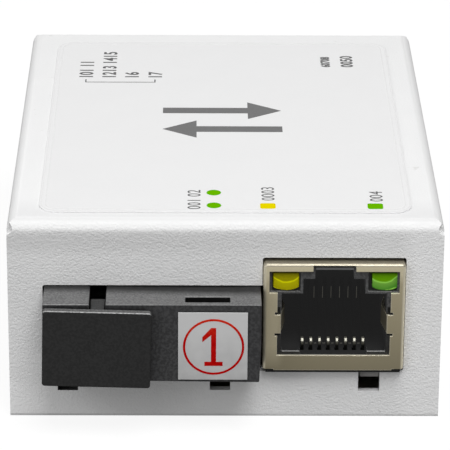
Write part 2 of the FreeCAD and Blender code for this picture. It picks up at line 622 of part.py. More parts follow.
def sc_housing():
    """Moulded shell: a port on the left, a blank half on the right, open underneath behind the port."""
    body = new_body("sc_housing")
    end = [("module_left + module_draft", "module_bottom"), ("module_right - module_draft", "module_bottom"),
           ("module_right", "module_middle"), ("module_right", "module_top"),
           ("module_left", "module_top"), ("module_left", "module_middle")]
    feature(body, "Pad", "blank", "XZ", [end], "module_front", "module_back")
    inside_right = "module_right - module_draft - module_wall"
    inside_left = "module_left + module_draft + module_wall"
    hollow = [("port_right + module_wall", "module_front + module_face"),
              (inside_right, "module_front + module_face"),
              (inside_right, "module_back - module_wall"), (inside_left, "module_back - module_wall"),
              (inside_left, "port_back + port_wall"), ("port_right + module_wall", "port_back + port_wall")]
    feature(body, "Pocket", "hollow", "XY", [hollow], "module_bottom", "module_top - module_wall")
    port = rect("port_left", "port_right", "port_low", "port_high")
    feature(body, "Pocket", "port", "XZ", [port], "module_front", "port_back")
    keyway = rect("port_middle - key_width / 2", "port_middle + key_width / 2",
                  "module_front", "module_front + key_length")
    feature(body, "Pocket", "keyway", "XY", [keyway], "port_high - fit", "module_top")
    slot = rect("slot_middle - slot_width / 2", "slot_middle + slot_width / 2",
                "module_front + slot_setback", "module_front + slot_setback + slot_length")
    feature(body, "Pocket", "slot", "XY", [slot], "module_top - module_wall", "module_top")
    holder_hole = circle("port_middle", "module_middle", "holder_radius + fit")
    feature(body, "Pocket", "holder_hole", "XZ", [holder_hole], "port_back", "port_back + port_wall")
    return keep(body, "sc_housing")


def sc_base():
    """Bottom plate, set into the housing's open underside, with four feet that stand on the board."""
    low, high = "module_bottom", "module_bottom + module_plate"
    right = "module_right - module_draft - module_wall - fit"
    left = "module_left + module_draft + module_wall + fit"
    back = "module_back - module_wall - fit"
    outline = [("port_right + module_wall + fit", "module_front + module_face + fit"),
               (right, "module_front + module_face + fit"), (right, back), (left, back),
               (left, "port_back + port_wall + fit"),
               ("port_right + module_wall + fit", "port_back + port_wall + fit")]
    body = new_body("sc_base")
    feature(body, "Pad", "plate", "XY", [outline], low, high)
    feet = [square(x, y, "module_foot") for x in (f"{left} + foot_inset", f"{right} - foot_inset")
            for y in ("module_back - foot_far", "port_back + port_wall + foot_near")]
    feature(body, "Pad", "feet", "XY", feet, "board_top", "module_bottom + module_plate / 2")
    holes = [square(*spot, "pin_radius + fit") for spot in module_pins()]
    feature(body, "Pocket", "pin_holes", "XY", holes, low, high)
    return keep(body, "sc_base")


def sc_module_board():
    """The transceiver's own small board, on the bottom plate behind the port."""
    body = new_body("sc_module_board")
    left = "module_left + module_draft + module_wall + small_board_gap"
    right = "module_right - module_draft - module_wall - small_board_gap"
    low = "module_bottom + module_plate"
    outline = rect(left, right, "pin_row - small_board_reach", "module_back - module_wall - small_board_gap")
    feature(body, "Pad", "board", "XY", [outline], low, f"{low} + small_board")
    holes = [square(*spot, "pin_radius + fit") for spot in module_pins()]
    feature(body, "Pocket", "pin_holes", "XY", holes, low, f"{low} + small_board")
    return keep(body, "sc_module_board")


def square_pin(name, x, y, top):
    """A square pin from under the board up to a level."""
    return box(name, (f"{x} - pin_radius", f"{x} + pin_radius"), (f"{y} - pin_radius", f"{y} + pin_radius"),
               ("lead_end", top))


def sc_pins():
    top = "module_bottom + module_plate + pin_rise"
    pins = [square_pin(f"sc_pin_{i}", *spot, top) for i, spot in enumerate(module_pins(), start=1)]
    return keep(group("sc_pins", *pins), "sc_pins")


def sc_posts():
    """Two plain square studs under the housing's side walls that hold it down in the board."""
    posts = [prism(f"sc_post_{i}", "XY", [square(*spot, "module_post_radius")], "lead_end", "module_bottom")
             for i, spot in enumerate(module_post_places(), start=1)]
    return keep(group("sc_posts", *posts), "sc_posts")


def sc_sleeve_holder():
    """Tube that carries the ceramic sleeve; its square collar sits against the port's back wall."""
    across = ("port_middle", "module_middle")
    span = ("port_back - holder_length", "port_back + port_wall")
    tube = rod("holder_tube", "y", across, "holder_radius", *span)
    rim = "(holder_radius + collar_rim)"
    collar = box("holder_collar", (f"port_middle - {rim}", f"port_middle + {rim}"),
                 ("port_back - collar_length", "port_back"),
                 (f"module_middle - {rim}", f"module_middle + {rim}"))
    bore = rod("holder_bore", "y", across, "sleeve_radius + close_fit", *span)
    return keep(cut("sc_sleeve_holder", fuse("holder_blank", tube, collar), bore), "sc_sleeve_holder")


def sc_ceramic_sleeve():
    across = ("port_middle", "module_middle")
    span = ("port_back - holder_length + sleeve_setback", "port_back + port_wall")
    sleeve = rod("sleeve_outside", "y", across, "sleeve_radius", *span)
    bore = rod("sleeve_bore", "y", across, "ferrule_radius", *span)
    return keep(cut("sc_ceramic_sleeve", sleeve, bore), "sc_ceramic_sleeve")


def sc_latch_arms():
    """Two hooked arms on a plate at the back of the port, which catch a fibre plug by its sides."""
    inner = "(port_width / 2 - arm_gap - arm_thickness)"
    outer = "(port_width / 2 - arm_gap)"
    plate_back = "port_back - collar_length - fit / 2"
    tip = f"{plate_back} - arm_length"
    pieces = []
    for side, sign in signs():
        hook = [(f"port_middle {sign} {outer}", f"{tip} + hook_slope / 2"),
                (f"port_middle {sign} ({inner} - fit)", tip),
                (f"port_middle {sign} ({inner} - hook_reach)", f"{tip} + hook_slope"),
                (f"port_middle {sign} ({inner} - hook_reach)", f"{tip} + hook_length"),
                (f"port_middle {sign} {inner}", f"{tip} + hook_length"),
                (f"port_middle {sign} {inner}", plate_back),
                (f"port_middle {sign} {outer}", plate_back)]
        if sign == "+":
            hook.reverse()
        pieces.append(prism(f"latch_arm_{side}", "XY", [hook],
                            "module_middle - arm_height / 2", "module_middle + arm_height / 2"))
    plate = box("latch_plate", (f"port_middle - {outer}", f"port_middle + {outer}"),
                (f"{plate_back} - arm_plate", plate_back), ("port_low + arm_gap", "port_high - arm_gap"))
    hole = rod("latch_hole", "y", ("port_middle", "module_middle"), "holder_radius + fit",
               f"{plate_back} - arm_plate", plate_back)
    return keep(cut("sc_latch_arms", fuse("latch_blank", plate, *pieces), hole), "sc_latch_arms")


def optical_parts():
    """Barrel behind the port's back wall, the laser can on its end and the receiver can on its side."""
    start = "port_back + port_wall"
    across = ("port_middle", "module_middle")
    barrel_end = f"{start} + barrel_length"
    block = rod("barrel_body", "y", across, "barrel_radius", start, barrel_end)
    flat = box("barrel_flat", ("port_middle + barrel_radius - barrel_flat", "port_middle + barrel_radius"),
               (start, barrel_end), ("module_middle - barrel_radius", "module_middle + barrel_radius"))
    keep(cut("optical_barrel", block, flat), "optical_barrel")
    keep(rod("laser_can", "y", across, "can_radius", barrel_end, f"{barrel_end} + can_length"), "laser_can")
    side = "port_middle + barrel_radius - barrel_flat"
    middle = (f"{start} + barrel_length / 2", "module_middle")
    keep(rod("receiver_can", "x", middle, "can_radius", side, f"{side} + can_length"), "receiver_can")


def dust_cap():
    """Flange, hollow plug and key, drawn about the port's axis and turned a little about it."""
    half = "cap_width / 2"
    body = new_body("dust_cap")
    face = rect(f"-{half}", half, "-cap_height / 2", "cap_height / 2", "cap_corner")
    feature(body, "Pad", "flange", "XZ", [face], "-cap_gap - cap_flange", "-cap_gap")
    plug = rect("-port_width / 2 + plug_fit", "port_width / 2 - plug_fit",
                "-port_height / 2 + plug_fit", "port_height / 2 - plug_fit")
    feature(body, "Pad", "plug", "XZ", [plug], "-cap_gap - cap_flange / 2", "plug_length")
    inside = "plug_fit + plug_wall"
    hollow = rect(f"-port_width / 2 + {inside}", f"port_width / 2 - {inside}",
                  f"-port_height / 2 + {inside}", f"port_height / 2 - {inside}")
    feature(body, "Pocket", "hollow", "XZ", [hollow], "-cap_gap", "plug_length")
    key = rect("-key_width / 2 + plug_fit", "key_width / 2 - plug_fit",
               "port_height / 2 - plug_fit - plug_wall / 2", "port_height / 2 + cap_key_rise")
    feature(body, "Pad", "key", "XZ", [key], "-cap_gap - cap_flange / 2", "cap_key_length")
    body.Placement = FreeCAD.Placement(V(), FreeCAD.Rotation(V(0, 1, 0), 1))
    body.setExpression("Placement.Rotation.Angle", on_sheet("cap_tilt"))
    for axis, text in (("x", "port_middle"), ("y", "module_front"), ("z", "module_middle - cap_sag")):
        body.setExpression(f"Placement.Base.{axis}", on_sheet(text))
    return keep(body, "dust_cap")


def port_sticker():
    low = "module_bottom + sticker_rise"
    sticker = box("port_sticker",
                  ("sticker_middle - sticker_width / 2", "sticker_middle + sticker_width / 2"),
                  ("module_front - sticker_thickness", "module_front"), (low, f"{low} + sticker_height"))
    return keep(sticker, "port_sticker")


# ------------------------------------------------------------------------------------------ network jack

def jack_opening():
    """Front opening of the shield: plug window, light windows, latch slot and folded-in side tabs."""
    right = [
        ("plug_half", "plug_low"), ("plug_half", "tongue_under - relief_height"),
        ("relief_half", "tongue_under - relief_height"),
        ("relief_half", "tongue_under"), ("tongue_half", "tongue_under"), ("tongue_half", "tongue_over"),
        ("relief_half", "tongue_over"), ("relief_half", "tongue_over + relief_height"),
        ("plug_half", "tongue_over + relief_height"),
        ("plug_half", "light_low"), ("light_half", "light_low"), ("light_half", "light_high"),
        ("latch_half", "light_high"), ("latch_half", "shield_top - latch_edge"),
    ]
    left = [(f"jack_middle - {x}", z) for x, z in reversed(right)]
    return [(f"jack_middle + {x}", z) for x, z in right] + left


def rj45_shield():
    body = new_body("rj45_shield")
    feature(body, "Pad", "blank", "XY", [rect("jack_left", "jack_right", "jack_front", "jack_back")],
            "shield_bottom", "shield_top")
    front, back, top = measure("jack_front"), measure("jack_back"), measure("shield_top")
    dress(body, "Fillet", "bends", "shield_bend",
          lambda edge: (runs_along(edge, "z") and near(edge.BoundBox.YMin, front))
          or (near(edge.BoundBox.ZMin, top) and not near(edge.BoundBox.YMin, back)))
    inside = rect("jack_left + shield_sheet", "jack_right - shield_sheet",
                  "jack_front + shield_sheet", "jack_back - shield_sheet")
    feature(body, "Pocket", "hollow", "XY", [inside], "shield_bottom", "shield_top - shield_sheet")
    feature(body, "Pocket", "opening", "XZ", [jack_opening()], "jack_front", "jack_front + shield_sheet")
    steps = [rect("jack_left", "jack_left + step_left", "shield_bottom", "shield_bottom + step_rise"),
             rect("jack_right - step_right", "jack_right", "shield_bottom", "shield_bottom + step_rise")]
    feature(body, "Pocket", "steps", "XZ", steps, "jack_front", "jack_back")
    for side, sign in signs():
        tongue = [(f"jack_middle {sign} {x}", f"jack_front + {y}") for x, y in (
            ("(tongue_half + shield_sheet)", "0"), ("tongue_half", "0"),
            ("(tongue_half - tongue_lean)", "tongue_bend"), ("(tongue_half - fit)", "tongue_length"),
            ("(tongue_half - fit + shield_sheet)", "tongue_length"),
            ("(tongue_half - tongue_lean + shield_sheet)", "tongue_bend"))]
        if sign == "-":
            tongue.reverse()
        feature(body, "Pad", f"{side}_tongue", "XY", [tongue],
                "tongue_under + close_fit", "tongue_over - close_fit")
    y = ("front + leg_near", "front + leg_near + leg_width")
    legs = [rect("jack_left", "jack_left + shield_sheet", *y),
            rect("jack_right - shield_sheet", "jack_right", *y)]
    feature(body, "Pad", "legs", "XY", legs, "lead_end", "shield_bottom + leg_lap")
    return keep(body, "rj45_shield")


def contact_places():
    return [f"jack_middle + {i - 3.5} * contact_pitch" for i in range(8)]


def rj45_housing():
    """Moulded insert: plug cavity, two light channels, contact slots and the comb behind the contacts."""
    body = new_body("rj45_housing")
    gap = "(shield_sheet + close_fit)"
    feature(body, "Pad", "blank", "XY",
            [rect(f"jack_left + {gap}", f"jack_right - {gap}", "insert_front", "insert_back")],
            "board_top", "insert_top")
    right = [("insert_half", "insert_low"), ("insert_half", "block_low"), ("block_half", "block_low"),
             ("block_half", "ledge_low"), ("ledge_half", "ledge_low"),
             ("ledge_half", "insert_top - insert_roof")]
    floor = [("-trough_half", "insert_low"), ("-trough_half", "trough_low"), ("trough_half", "trough_low"),
             ("trough_half", "insert_low")]
    cavity = ([(f"jack_middle + {x}", z) for x, z in floor + right]
              + [(f"jack_middle - {x}", z) for x, z in reversed(right)])
    feature(body, "Pocket", "cavity", "XZ", [cavity], "insert_front", "cavity_back")
    channels = [rect(f"{middle} - lens_width / 2 - lens_gap", f"{middle} + lens_width / 2 + lens_gap",
                     "light_low + fit", "light_high + fit") for middle in lens_places()]
    feature(body, "Pocket", "light_channels", "XZ", channels, "insert_front", "insert_back")
    slots = [rect(f"{x} - contact_width / 2 - fit", f"{x} + contact_width / 2 + fit",
                  "contact_near - slot_gap", "contact_tail + contact_sheet + slot_gap")
             for x in contact_places()]
    feature(body, "Pocket", "contact_slots", "XY", slots, "board_top", "trough_low")
    comb = [rect(f"{x} - contact_width / 2 - fit", f"{x} + contact_width / 2 + fit",
                 "cavity_back - fit", "cavity_back + comb_depth") for x in contact_places()]
    feature(body, "Pocket", "comb", "XY", comb, "insert_low", "comb_high")
    y = ("insert_front", "insert_front + recess_depth")
    recesses = [rect("jack_middle - recess_half", "jack_middle - insert_half + fit", *y),
                rect("jack_middle + insert_half - fit", "jack_middle + recess_half", *y)]
    feature(body, "Pocket", "tongue_recesses", "XY", recesses, "tongue_under - fit", "tongue_over + fit")
    return keep(body, "rj45_housing")


def rj45_contacts():
    """Eight flat wires: tail, run under the floor, front bend and the sprung slope up to the comb."""
    thick = "contact_sheet"
    run, bend, slope = "board_top + run_level", "board_top + bend_level", "board_top + slope_level"
    end_y, end_z = "cavity_back + comb_depth - contact_slack", "comb_high - contact_drop"
    outline = [
        ("contact_tail", "lead_end"), (f"contact_tail + {thick}", "lead_end"),
        (f"contact_tail + {thick}", f"{run} + {thick}"), (f"contact_near + {thick}", f"{run} + {thick}"),
        (f"contact_near + {thick}", bend), (f"contact_near + 2 * {thick}", f"{bend} + {thick}"),
        (end_y, f"{end_z} - {thick}"), (end_y, end_z), (f"contact_near + {thick}", slope),
        ("contact_near", f"{slope} - {thick}"), ("contact_near", run), ("contact_tail", run),
    ]
    wires = [prism(f"contact_{i}", "YZ", [outline], f"{x} - contact_width / 2", f"{x} + contact_width / 2")
             for i, x in enumerate(contact_places(), start=1)]
    return keep(group("rj45_contacts", *wires), "rj45_contacts")


def lens_places():
    return [f"jack_middle {sign} lens_offset" for _, sign in signs()]


def rj45_lights():
    """Two moulded lights with a curved underside, and their leads down behind the insert."""
    leads = []
    for colour, x in zip(("yellow", "green"), lens_places()):
        low, high = "light_high - lens_drop - lens_height", "light_high - lens_drop"
        start = "jack_front + lens_setback"
        end = f"{start} + lens_length"
        block = box(f"lens_{colour}_block", (f"{x} - lens_width / 2", f"{x} + lens_width / 2"),
                    (start, end), (low, high))
        round_part = rod(f"lens_{colour}_curve", "y", (x, f"{low} + lens_curve"), "lens_curve", start, end)
        lens = DOC.addObject("Part::Common", f"rj45_led_{colour}")
        lens.Base, lens.Tool = block, round_part
        keep(lens, f"rj45_led_{colour}")
        for side in ("-", "+"):
            middle = f"{x} {side} lens_lead_x"
            wide = (f"{middle} - lens_lead / 2", f"{middle} + lens_lead / 2")
            run = box(f"lead_{colour}_{len(leads)}_run", wide,
                      (end, "light_lead_y + lens_lead"), ("light_lead_z", "light_lead_z + lens_lead"))
            drop = box(f"lead_{colour}_{len(leads)}_drop", wide, ("light_lead_y", "light_lead_y + lens_lead"),
                       ("lead_end", "light_lead_z + lens_lead"))
            leads.append(fuse(f"light_lead_{len(leads) + 1}", run, drop))
    return keep(group("rj45_led_leads", *leads), "rj45_led_leads")


# ------------------------------------------------------------------------------- light guide and lamps

def light_guide():
    """Clear moulding: two legs over the lamps, two cranked arms, two round posts in the top's windows."""
    body = new_body("light_guide")
    half = "guide_width / 2"
    pairs = (("near", "window_near", "guide_arm"), ("far", "window_far", "guide_leg"))
    for name, window, leg_x in pairs:
        y = f"front + {window}"
        arm = [(f"window_x - {half}", f"{y} - {half}"), (f"{leg_x} - {half}", f"{y} - {half}"),
               (f"{leg_x} + {half}", f"{y} + {half}"), (f"{leg_x} + {half}", f"guide_row + {half}"),
               (f"{leg_x} - {half}", f"guide_row + {half}"), (f"{leg_x} - {half}", f"{y} + {half}"),
               (f"window_x - {half}", f"{y} + {half}")]
        feature(body, "Pad", f"{name}_arm", "XY", [arm], "guide_low", "guide_top")
        post = circle("window_x", y, "guide_post")
        feature(body, "Pad", f"{name}_post", "XY", [post], "guide_low", "case_height - close_fit")
        leg = rect(f"{leg_x} - {half}", f"{leg_x} + {half}",
                   f"guide_row - {half}", f"guide_row + {half}")
        feature(body, "Pad", f"{name}_leg", "XY", [leg], "lamp_top + guide_gap", "guide_top")
        if name == "near":
            tie = rect("guide_leg", "guide_arm",
                       f"guide_row - guide_tie_y - {half}", f"guide_row - guide_tie_y + {half}")
            feature(body, "Pad", "tie", "XY", [tie], "guide_low", "guide_low + guide_tie")
    foot = rect(f"guide_leg - {half}", f"guide_arm + {half}",
                "guide_back - guide_gap", "guide_back + foot_depth")
    feature(body, "Pad", "foot", "XY", [foot], "board_top", "lamp_top + guide_gap + foot_height")
    pegs = [square(*spot, "peg_radius") for spot in peg_places()]
    feature(body, "Pad", "pegs", "XY", pegs, "board_bottom", "board_top + guide_gap")
    return keep(body, "light_guide")


def peg_places():
    return [(x, "guide_back + peg_y") for x in ("guide_leg", "guide_arm")]


def status_lamps():
    lamps = []
    for name, x in (("near", "guide_arm"), ("far", "guide_leg")):
        lamps.append(box(f"lamp_{name}", (f"{x} - lamp_width / 2", f"{x} + lamp_width / 2"),
                         ("guide_row - lamp_length / 2", "guide_row + lamp_length / 2 - lamp_gap"),
                         ("board_top", "lamp_top")))
    return keep(group("status_lamps", *lamps), "status_lamps")


# ----------------------------------------------------------------------------- power jack, slide switch

def dc_jack_parts():
    left, right = "power_centre - power_width / 2", "power_centre + power_width / 2"
    body = new_body("dc_jack_housing")
    feature(body, "Pad", "blank", "XZ", [rect(left, right, "board_top", "board_top + power_height")],
            "power_front", "power_back")
    top = measure("board_top + power_height")
    dress(body, "Fillet", "crown", "power_width / 4",
          lambda edge: runs_along(edge, "y") and near(edge.BoundBox.ZMax, top))
    feature(body, "Pocket", "bore", "XZ", [circle("power_centre", "power_middle", "power_bore")],
            "power_end", "power_back")
    pin_hole = circle("power_centre", "power_middle", "power_root + close_fit")
    feature(body, "Pocket", "pin_hole", "XZ", [pin_hole], "power_front", "power_end")
    spring_slot = rect("power_centre - spring_half - spring_gap", "power_centre + spring_half + spring_gap",
                       "power_end", "power_back - spring_mouth")
    feature(body, "Pocket", "spring_slot", "XY", [spring_slot], "board_top", "bore_floor + spring_lift")
    keep(body, "dc_jack_housing")
    across = ("power_centre", "power_middle")
    tail_back = "(power_front - tail_gap)"
    pin = rod("dc_pin_shaft", "y", across, "power_pin", "power_end", "power_back - power_tip")
    root = rod("dc_pin_root", "y", across, "power_root", f"{tail_back} - power_tail / 2", "power_end")
    tail = box("dc_pin_tail", ("power_centre - tail_half", "power_centre + tail_half"),
               (f"{tail_back} - power_tail", tail_back), ("lead_end", "power_middle + power_root"))
    keep(fuse("dc_jack_pin", pin, root, tail), "dc_jack_pin")
    keep(dc_jack_spring(), "dc_jack_spring")


def dc_jack_spring():
    """Leaf along the bore's floor: bent up from its leg to a crest, and down again inside the mouth."""
    crest, tip = "power_back - spring_crest", "power_back - spring_tip"
    spring = [("spring_root", "lead_end"), ("spring_root + spring_sheet", "lead_end"),
              ("spring_root + spring_sheet", "bore_floor - spring_lift"), (crest, "bore_floor + spring_lift"),
              (tip, "bore_floor - spring_dip"), (tip, "bore_floor - spring_dip + spring_sheet"),
              (crest, "bore_floor + spring_lift + spring_sheet"),
              ("spring_root", "bore_floor - spring_lift + spring_sheet")]
    return prism("dc_jack_spring", "YZ", [spring], "power_centre - spring_half", "power_centre + spring_half")


def slider_places():
    return [f"switch_centre + {i - 1.5} * switch_pitch" for i in range(4)]


def dip_switch_parts():
    left, right = "switch_centre - switch_width / 2", "switch_centre + switch_width / 2"
    blank = box("switch_blank", (left, right), ("switch_front", "switch_back"),
                ("switch_bottom", "switch_top"))
    tools = []
    shoe_low, shoe_high = "slide_bottom - slide_fit", "slide_bottom + shoe_height + slide_travel + slide_fit"
    stem_low = "slide_bottom + (shoe_height - stem_height) / 2"
    for i, x in enumerate(slider_places(), start=1):
        shoe_back = "switch_back - slide_face"
        tools.append(box(f"switch_chamber_{i}",
                         (f"{x} - shoe_width / 2 - slide_fit", f"{x} + shoe_width / 2 + slide_fit"),
                         (f"{shoe_back} - shoe_depth - 2 * slide_fit", shoe_back), (shoe_low, shoe_high)))
        tools.append(box(f"switch_slot_{i}",
                         (f"{x} - slide_width / 2 - slide_fit", f"{x} + slide_width / 2 + slide_fit"),
                         (shoe_back, "switch_back"),
                         (f"{stem_low} - slide_fit", f"{stem_low} + stem_height + slide_travel + slide_fit")))
        shoe = box(f"slider_{i}_shoe", (f"{x} - shoe_width / 2", f"{x} + shoe_width / 2"),
                   (f"{shoe_back} - slide_fit - shoe_depth", f"{shoe_back} - slide_fit"),
                   ("slide_bottom", "slide_bottom + shoe_height"))
        stem = box(f"slider_{i}_stem", (f"{x} - slide_width / 2", f"{x} + slide_width / 2"),
                   (f"{shoe_back} - slide_fit - stem_root", "switch_back + stem_reach"),
                   (stem_low, f"{stem_low} + stem_height"))
        keep(fuse(f"dip_slider_{i}", shoe, stem), f"dip_slider_{i}")
    keep(cut("dip_switch_body", blank, *tools), "dip_switch_body")
    pins = [square_pin(f"switch_pin_{side}_{i}", x, y, "switch_bottom")
            for side, y in switch_pin_rows() for i, x in enumerate(slider_places(), start=1)]
    keep(group("dip_switch_pins", *pins), "dip_switch_pins")


def switch_pin_rows():
    near_row = "switch_front + switch_pin_y"
    return (("near", near_row), ("far", f"{near_row} + 2 * switch_pitch"))


# ------------------------------------------------------------------------------------ parts on the board

def side_leads(name, x, y, half_width, count, height):
    """Gull-wing leads along the two long sides of a chip body, as separate bent strips."""
    top = f"board_top + {height}"
    leads = []
    for side, sign in signs():
        outline = [("lead_reach", "board_top"), ("lead_reach", "board_top + lead_sheet"),
                   ("(lead_knee + lead_sheet)", "board_top + lead_sheet"), ("lead_knee", top), ("0", top),
                   ("0", f"{top} - lead_sheet"), ("lead_knee - lead_sheet", f"{top} - lead_sheet"),
                   ("lead_knee", "board_top")]
        profile = [(f"{x} {sign} ({half_width} + {distance})", level) for distance, level in outline]
        if sign == "-":
            profile.reverse()
        for i in range(count):
            middle = f"{y} + {i - (count - 1) / 2} * lead_pitch"
            leads.append(prism(f"{name}_{side}_{i + 1}", "XZ", [profile],
                               f"{middle} - lead_width / 2", f"{middle} + lead_width / 2"))
    return leads


def chip_body(name, x, y, width, length, low, height):
    body = new_body(name)
    outline = rect(f"{x} - {width} / 2", f"{x} + {width} / 2", f"{y} - {length} / 2", f"{y} + {length} / 2")
    feature(body, "Pad", "body", "XY", [outline], f"board_top + {low}", f"board_top + {low} + {height}")
    return body


def board_parts():
    y = "chip_middle"
    keep(chip_body("main_chip", "chip_x", y, "chip_width", "chip_width", "chip_lift", "chip_height"),
         "main_chip")
    leads = side_leads("main_chip_lead", "chip_x", y, "chip_width / 2", 8, "chip_lead")
    keep(group("main_chip_leads", *leads), "main_chip_leads")
    keep(heat_sink(), "heat_sink")
    x, y = "transformer_centre", "transformer_middle"
    keep(chip_body("transformer", x, y, "transformer_width", "transformer_length", "transformer_lift",
                   "transformer_height"), "transformer")
    leads = side_leads("transformer_lead", x, y, "transformer_width / 2", 8, "transformer_lead")
    keep(group("transformer_leads", *leads), "transformer_leads")
    keep(crystal(), "crystal")
    keep(capacitors(), "capacitors")
    keep(power_inductor(), "power_inductor")
    x, y = "memory_centre", "memory_middle"
    keep(chip_body("memory_chip", x, y, "memory_width", "memory_length", "chip_lift", "memory_height"),
         "memory_chip")
    keep(group("memory_chip_leads", *side_leads("memory_lead", x, y, "memory_width / 2", 4, "chip_lead")),
         "memory_chip_leads")
    keep(chip_body("regulator", "regulator_centre", "regulator_middle", "regulator_width", "regulator_length",
                   "0", "regulator_height"), "regulator")
    keep(small_parts(), "small_parts")


def heat_sink():
    """A finned block on the main chip."""
    low = "board_top + chip_lift + chip_height"
    half = "(chip_width / 2 - sink_inset)"
    y = (f"chip_middle - {half}", f"chip_middle + {half}")
    floor = box("sink_floor", (f"chip_x - {half}", f"chip_x + {half}"), y, (low, f"{low} + sink_floor"))
    fins = []
    for i in range(round(SIZES["sink_fins"])):
        x = f"chip_x - {half} + {i} * (2 * {half} - sink_fin) / (sink_fins - 1)"
        fins.append(box(f"sink_fin_{i + 1}", (x, f"{x} + sink_fin"), y,
                        (f"{low} + sink_floor - fit", f"{low} + sink_height")))
    return fuse("heat_sink", floor, *fins)


def crystal():
    body = new_body("crystal")
    can = rect("crystal_centre - crystal_width / 2", "crystal_centre + crystal_width / 2",
               "crystal_back - crystal_length", "crystal_back", "crystal_corner")
    feature(body, "Pad", "can", "XY", [can], "board_top", "board_top + crystal_height")
    return body


def capacitor_places():
    return [("capacitor_x", f"capacitor_middle - {i} * capacitor_pitch") for i in range(2)]


def capacitors():
    cans = []
    for i, spot in enumerate(capacitor_places(), start=1):
        can = rod(f"capacitor_{i}_can", "z", spot, "capacitor_radius",
                  "board_top", "board_top + capacitor_height")
        cans.append(fuse(f"capacitor_{i}", can, square_pin(f"capacitor_{i}_lead", *spot, "board_top")))
    return group("capacitors", *cans)


def power_inductor():
    """A square shell with a shallow round well in its top."""
    body = new_body("power_inductor")
    x, y, half = "inductor_x", "inductor_middle", "inductor_width / 2"
    outline = rect(f"{x} - {half}", f"{x} + {half}", f"{y} - {half}", f"{y} + {half}")
    top = "board_top + inductor_height"
    feature(body, "Pad", "shell", "XY", [outline], "board_top", top)
    feature(body, "Pocket", "well", "XY", [circle(x, y, "inductor_well")], f"{top} - well_depth", top)
    return body


def small_parts():
    """A row behind the main chip and two parts beside the inductor."""
    behind = "chip_middle + chip_width / 2 + small_gap"
    spots = [(f"chip_x + {i - 2.5} * small_pitch", behind) for i in range(4)]
    beside = "inductor_x - inductor_width / 2 - small_length / 2"
    spots += [(beside, f"inductor_middle + {i - 0.5} * small_pitch") for i in range(2)]
    parts = [box(f"small_part_{i}", (f"{x} - small_width / 2", f"{x} + small_width / 2"),
                 (f"{y} - small_length / 2", f"{y} + small_length / 2"),
                 ("board_top", "board_top + small_height")) for i, (x, y) in enumerate(spots, start=1)]
    return group("small_parts", *parts)


def main_board():
    """Main board with its three front tabs and every hole that a lead, post, peg or screw goes through."""
    body = new_body("main_board")
    corners = [("-board_side", "board_near")]
    for notch in ("tab_left", "tab_middle", "tab_right"):
        low = f"{notch} - notch_width / 2 + tab_fit"
        high = f"{notch} + notch_width / 2 - tab_fit"
        corners += [(low, "board_near"), (low, "front + tab_setback"), (high, "front + tab_setback"),
                    (high, "board_near")]
    corners += [("board_side", "board_near"), ("board_side", "board_far"), ("-board_side", "board_far")]
    feature(body, "Pad", "board", "XY", [corners], "board_bottom", "board_top")
    holes = [circle(f"{sign}post_side", "front + rear_post_y", "board_screw_radius + screw_clearance")
             for _, sign in signs()]
    holes += [square(*spot, "module_post_radius + pin_hole_gap") for spot in module_post_places()]
    rows = [(x, y) for _, y in switch_pin_rows() for x in slider_places()]
    spots = module_pins() + rows + capacitor_places()
    holes += [square(*spot, "pin_radius + pin_hole_gap") for spot in spots]
    holes += [square(x, "contact_tail + contact_sheet / 2", "contact_sheet / 2 + pin_hole_gap")
              for x in contact_places()]
    lead_y = "light_lead_y + lens_lead / 2"
    holes += [square(f"{x} {side} lens_lead_x", lead_y, "lens_lead / 2 + pin_hole_gap")
              for x in lens_places() for side in "-+"]
    holes += [square(*spot, "peg_radius + fit") for spot in peg_places()]
    leg_y = ("front + leg_near - leg_gap", "front + leg_near + leg_width + leg_gap")
    holes += [rect("jack_left - leg_gap", "jack_left + shield_sheet + leg_gap", *leg_y),
              rect("jack_right - shield_sheet - leg_gap", "jack_right + leg_gap", *leg_y)]
    tail_x = ("power_centre - tail_half - leg_gap", "power_centre + tail_half + leg_gap")
    tail_back = "power_front - tail_gap"
    holes += [rect(*tail_x, f"{tail_back} - power_tail - leg_gap", f"{tail_back} + leg_gap"),
              rect(*tail_x, "spring_root - leg_gap", "spring_root + spring_sheet + leg_gap")]
    feature(body, "Pocket", "holes", "XY", holes, "board_bottom", "board_top")
    return keep(body, "main_board")


# ------------------------------------------------------------------------------------------ build, write

def build():
    case_cover()
    base_plate()
    cover_screws()
    board_standoffs()
    board_screws()
    insulating_sheet()
    top_overlay()
    main_board()
    sc_housing()
    sc_base()
    sc_module_board()
    sc_pins()
    sc_posts()
    sc_sleeve_holder()
    sc_ceramic_sleeve()
    sc_latch_arms()
    optical_parts()
    dust_cap()
    port_sticker()
    rj45_shield()
    rj45_housing()
    rj45_contacts()
    rj45_lights()
    light_guide()
    status_lamps()
    dc_jack_parts()
    dip_switch_parts()
    board_parts()


def check():
    """Stop if any object failed or any piece has no valid solid."""
    DOC.recompute()
    for item in DOC.Objects:
        if "Invalid" in item.State or "Error" in item.State:
            raise RuntimeError(f"{item.Name} did not build: {item.State}")
    for item in NODES:
        if item.Shape.isNull() or not item.Shape.isValid() or not item.Shape.Solids:
            raise RuntimeError(f"{item.Label} has no valid solid")


def write():
    os.makedirs("parts", exist_ok=True)
    for item in NODES:
        item.Shape.exportStep(os.path.join("parts", f"{item.Label}.step"))


build()
check()
write()
print(f"{len(NODES)} pieces written")
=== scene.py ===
import bmesh
import bpy
import json
import math
from collections import namedtuple
from mathutils import Matrix, Vector


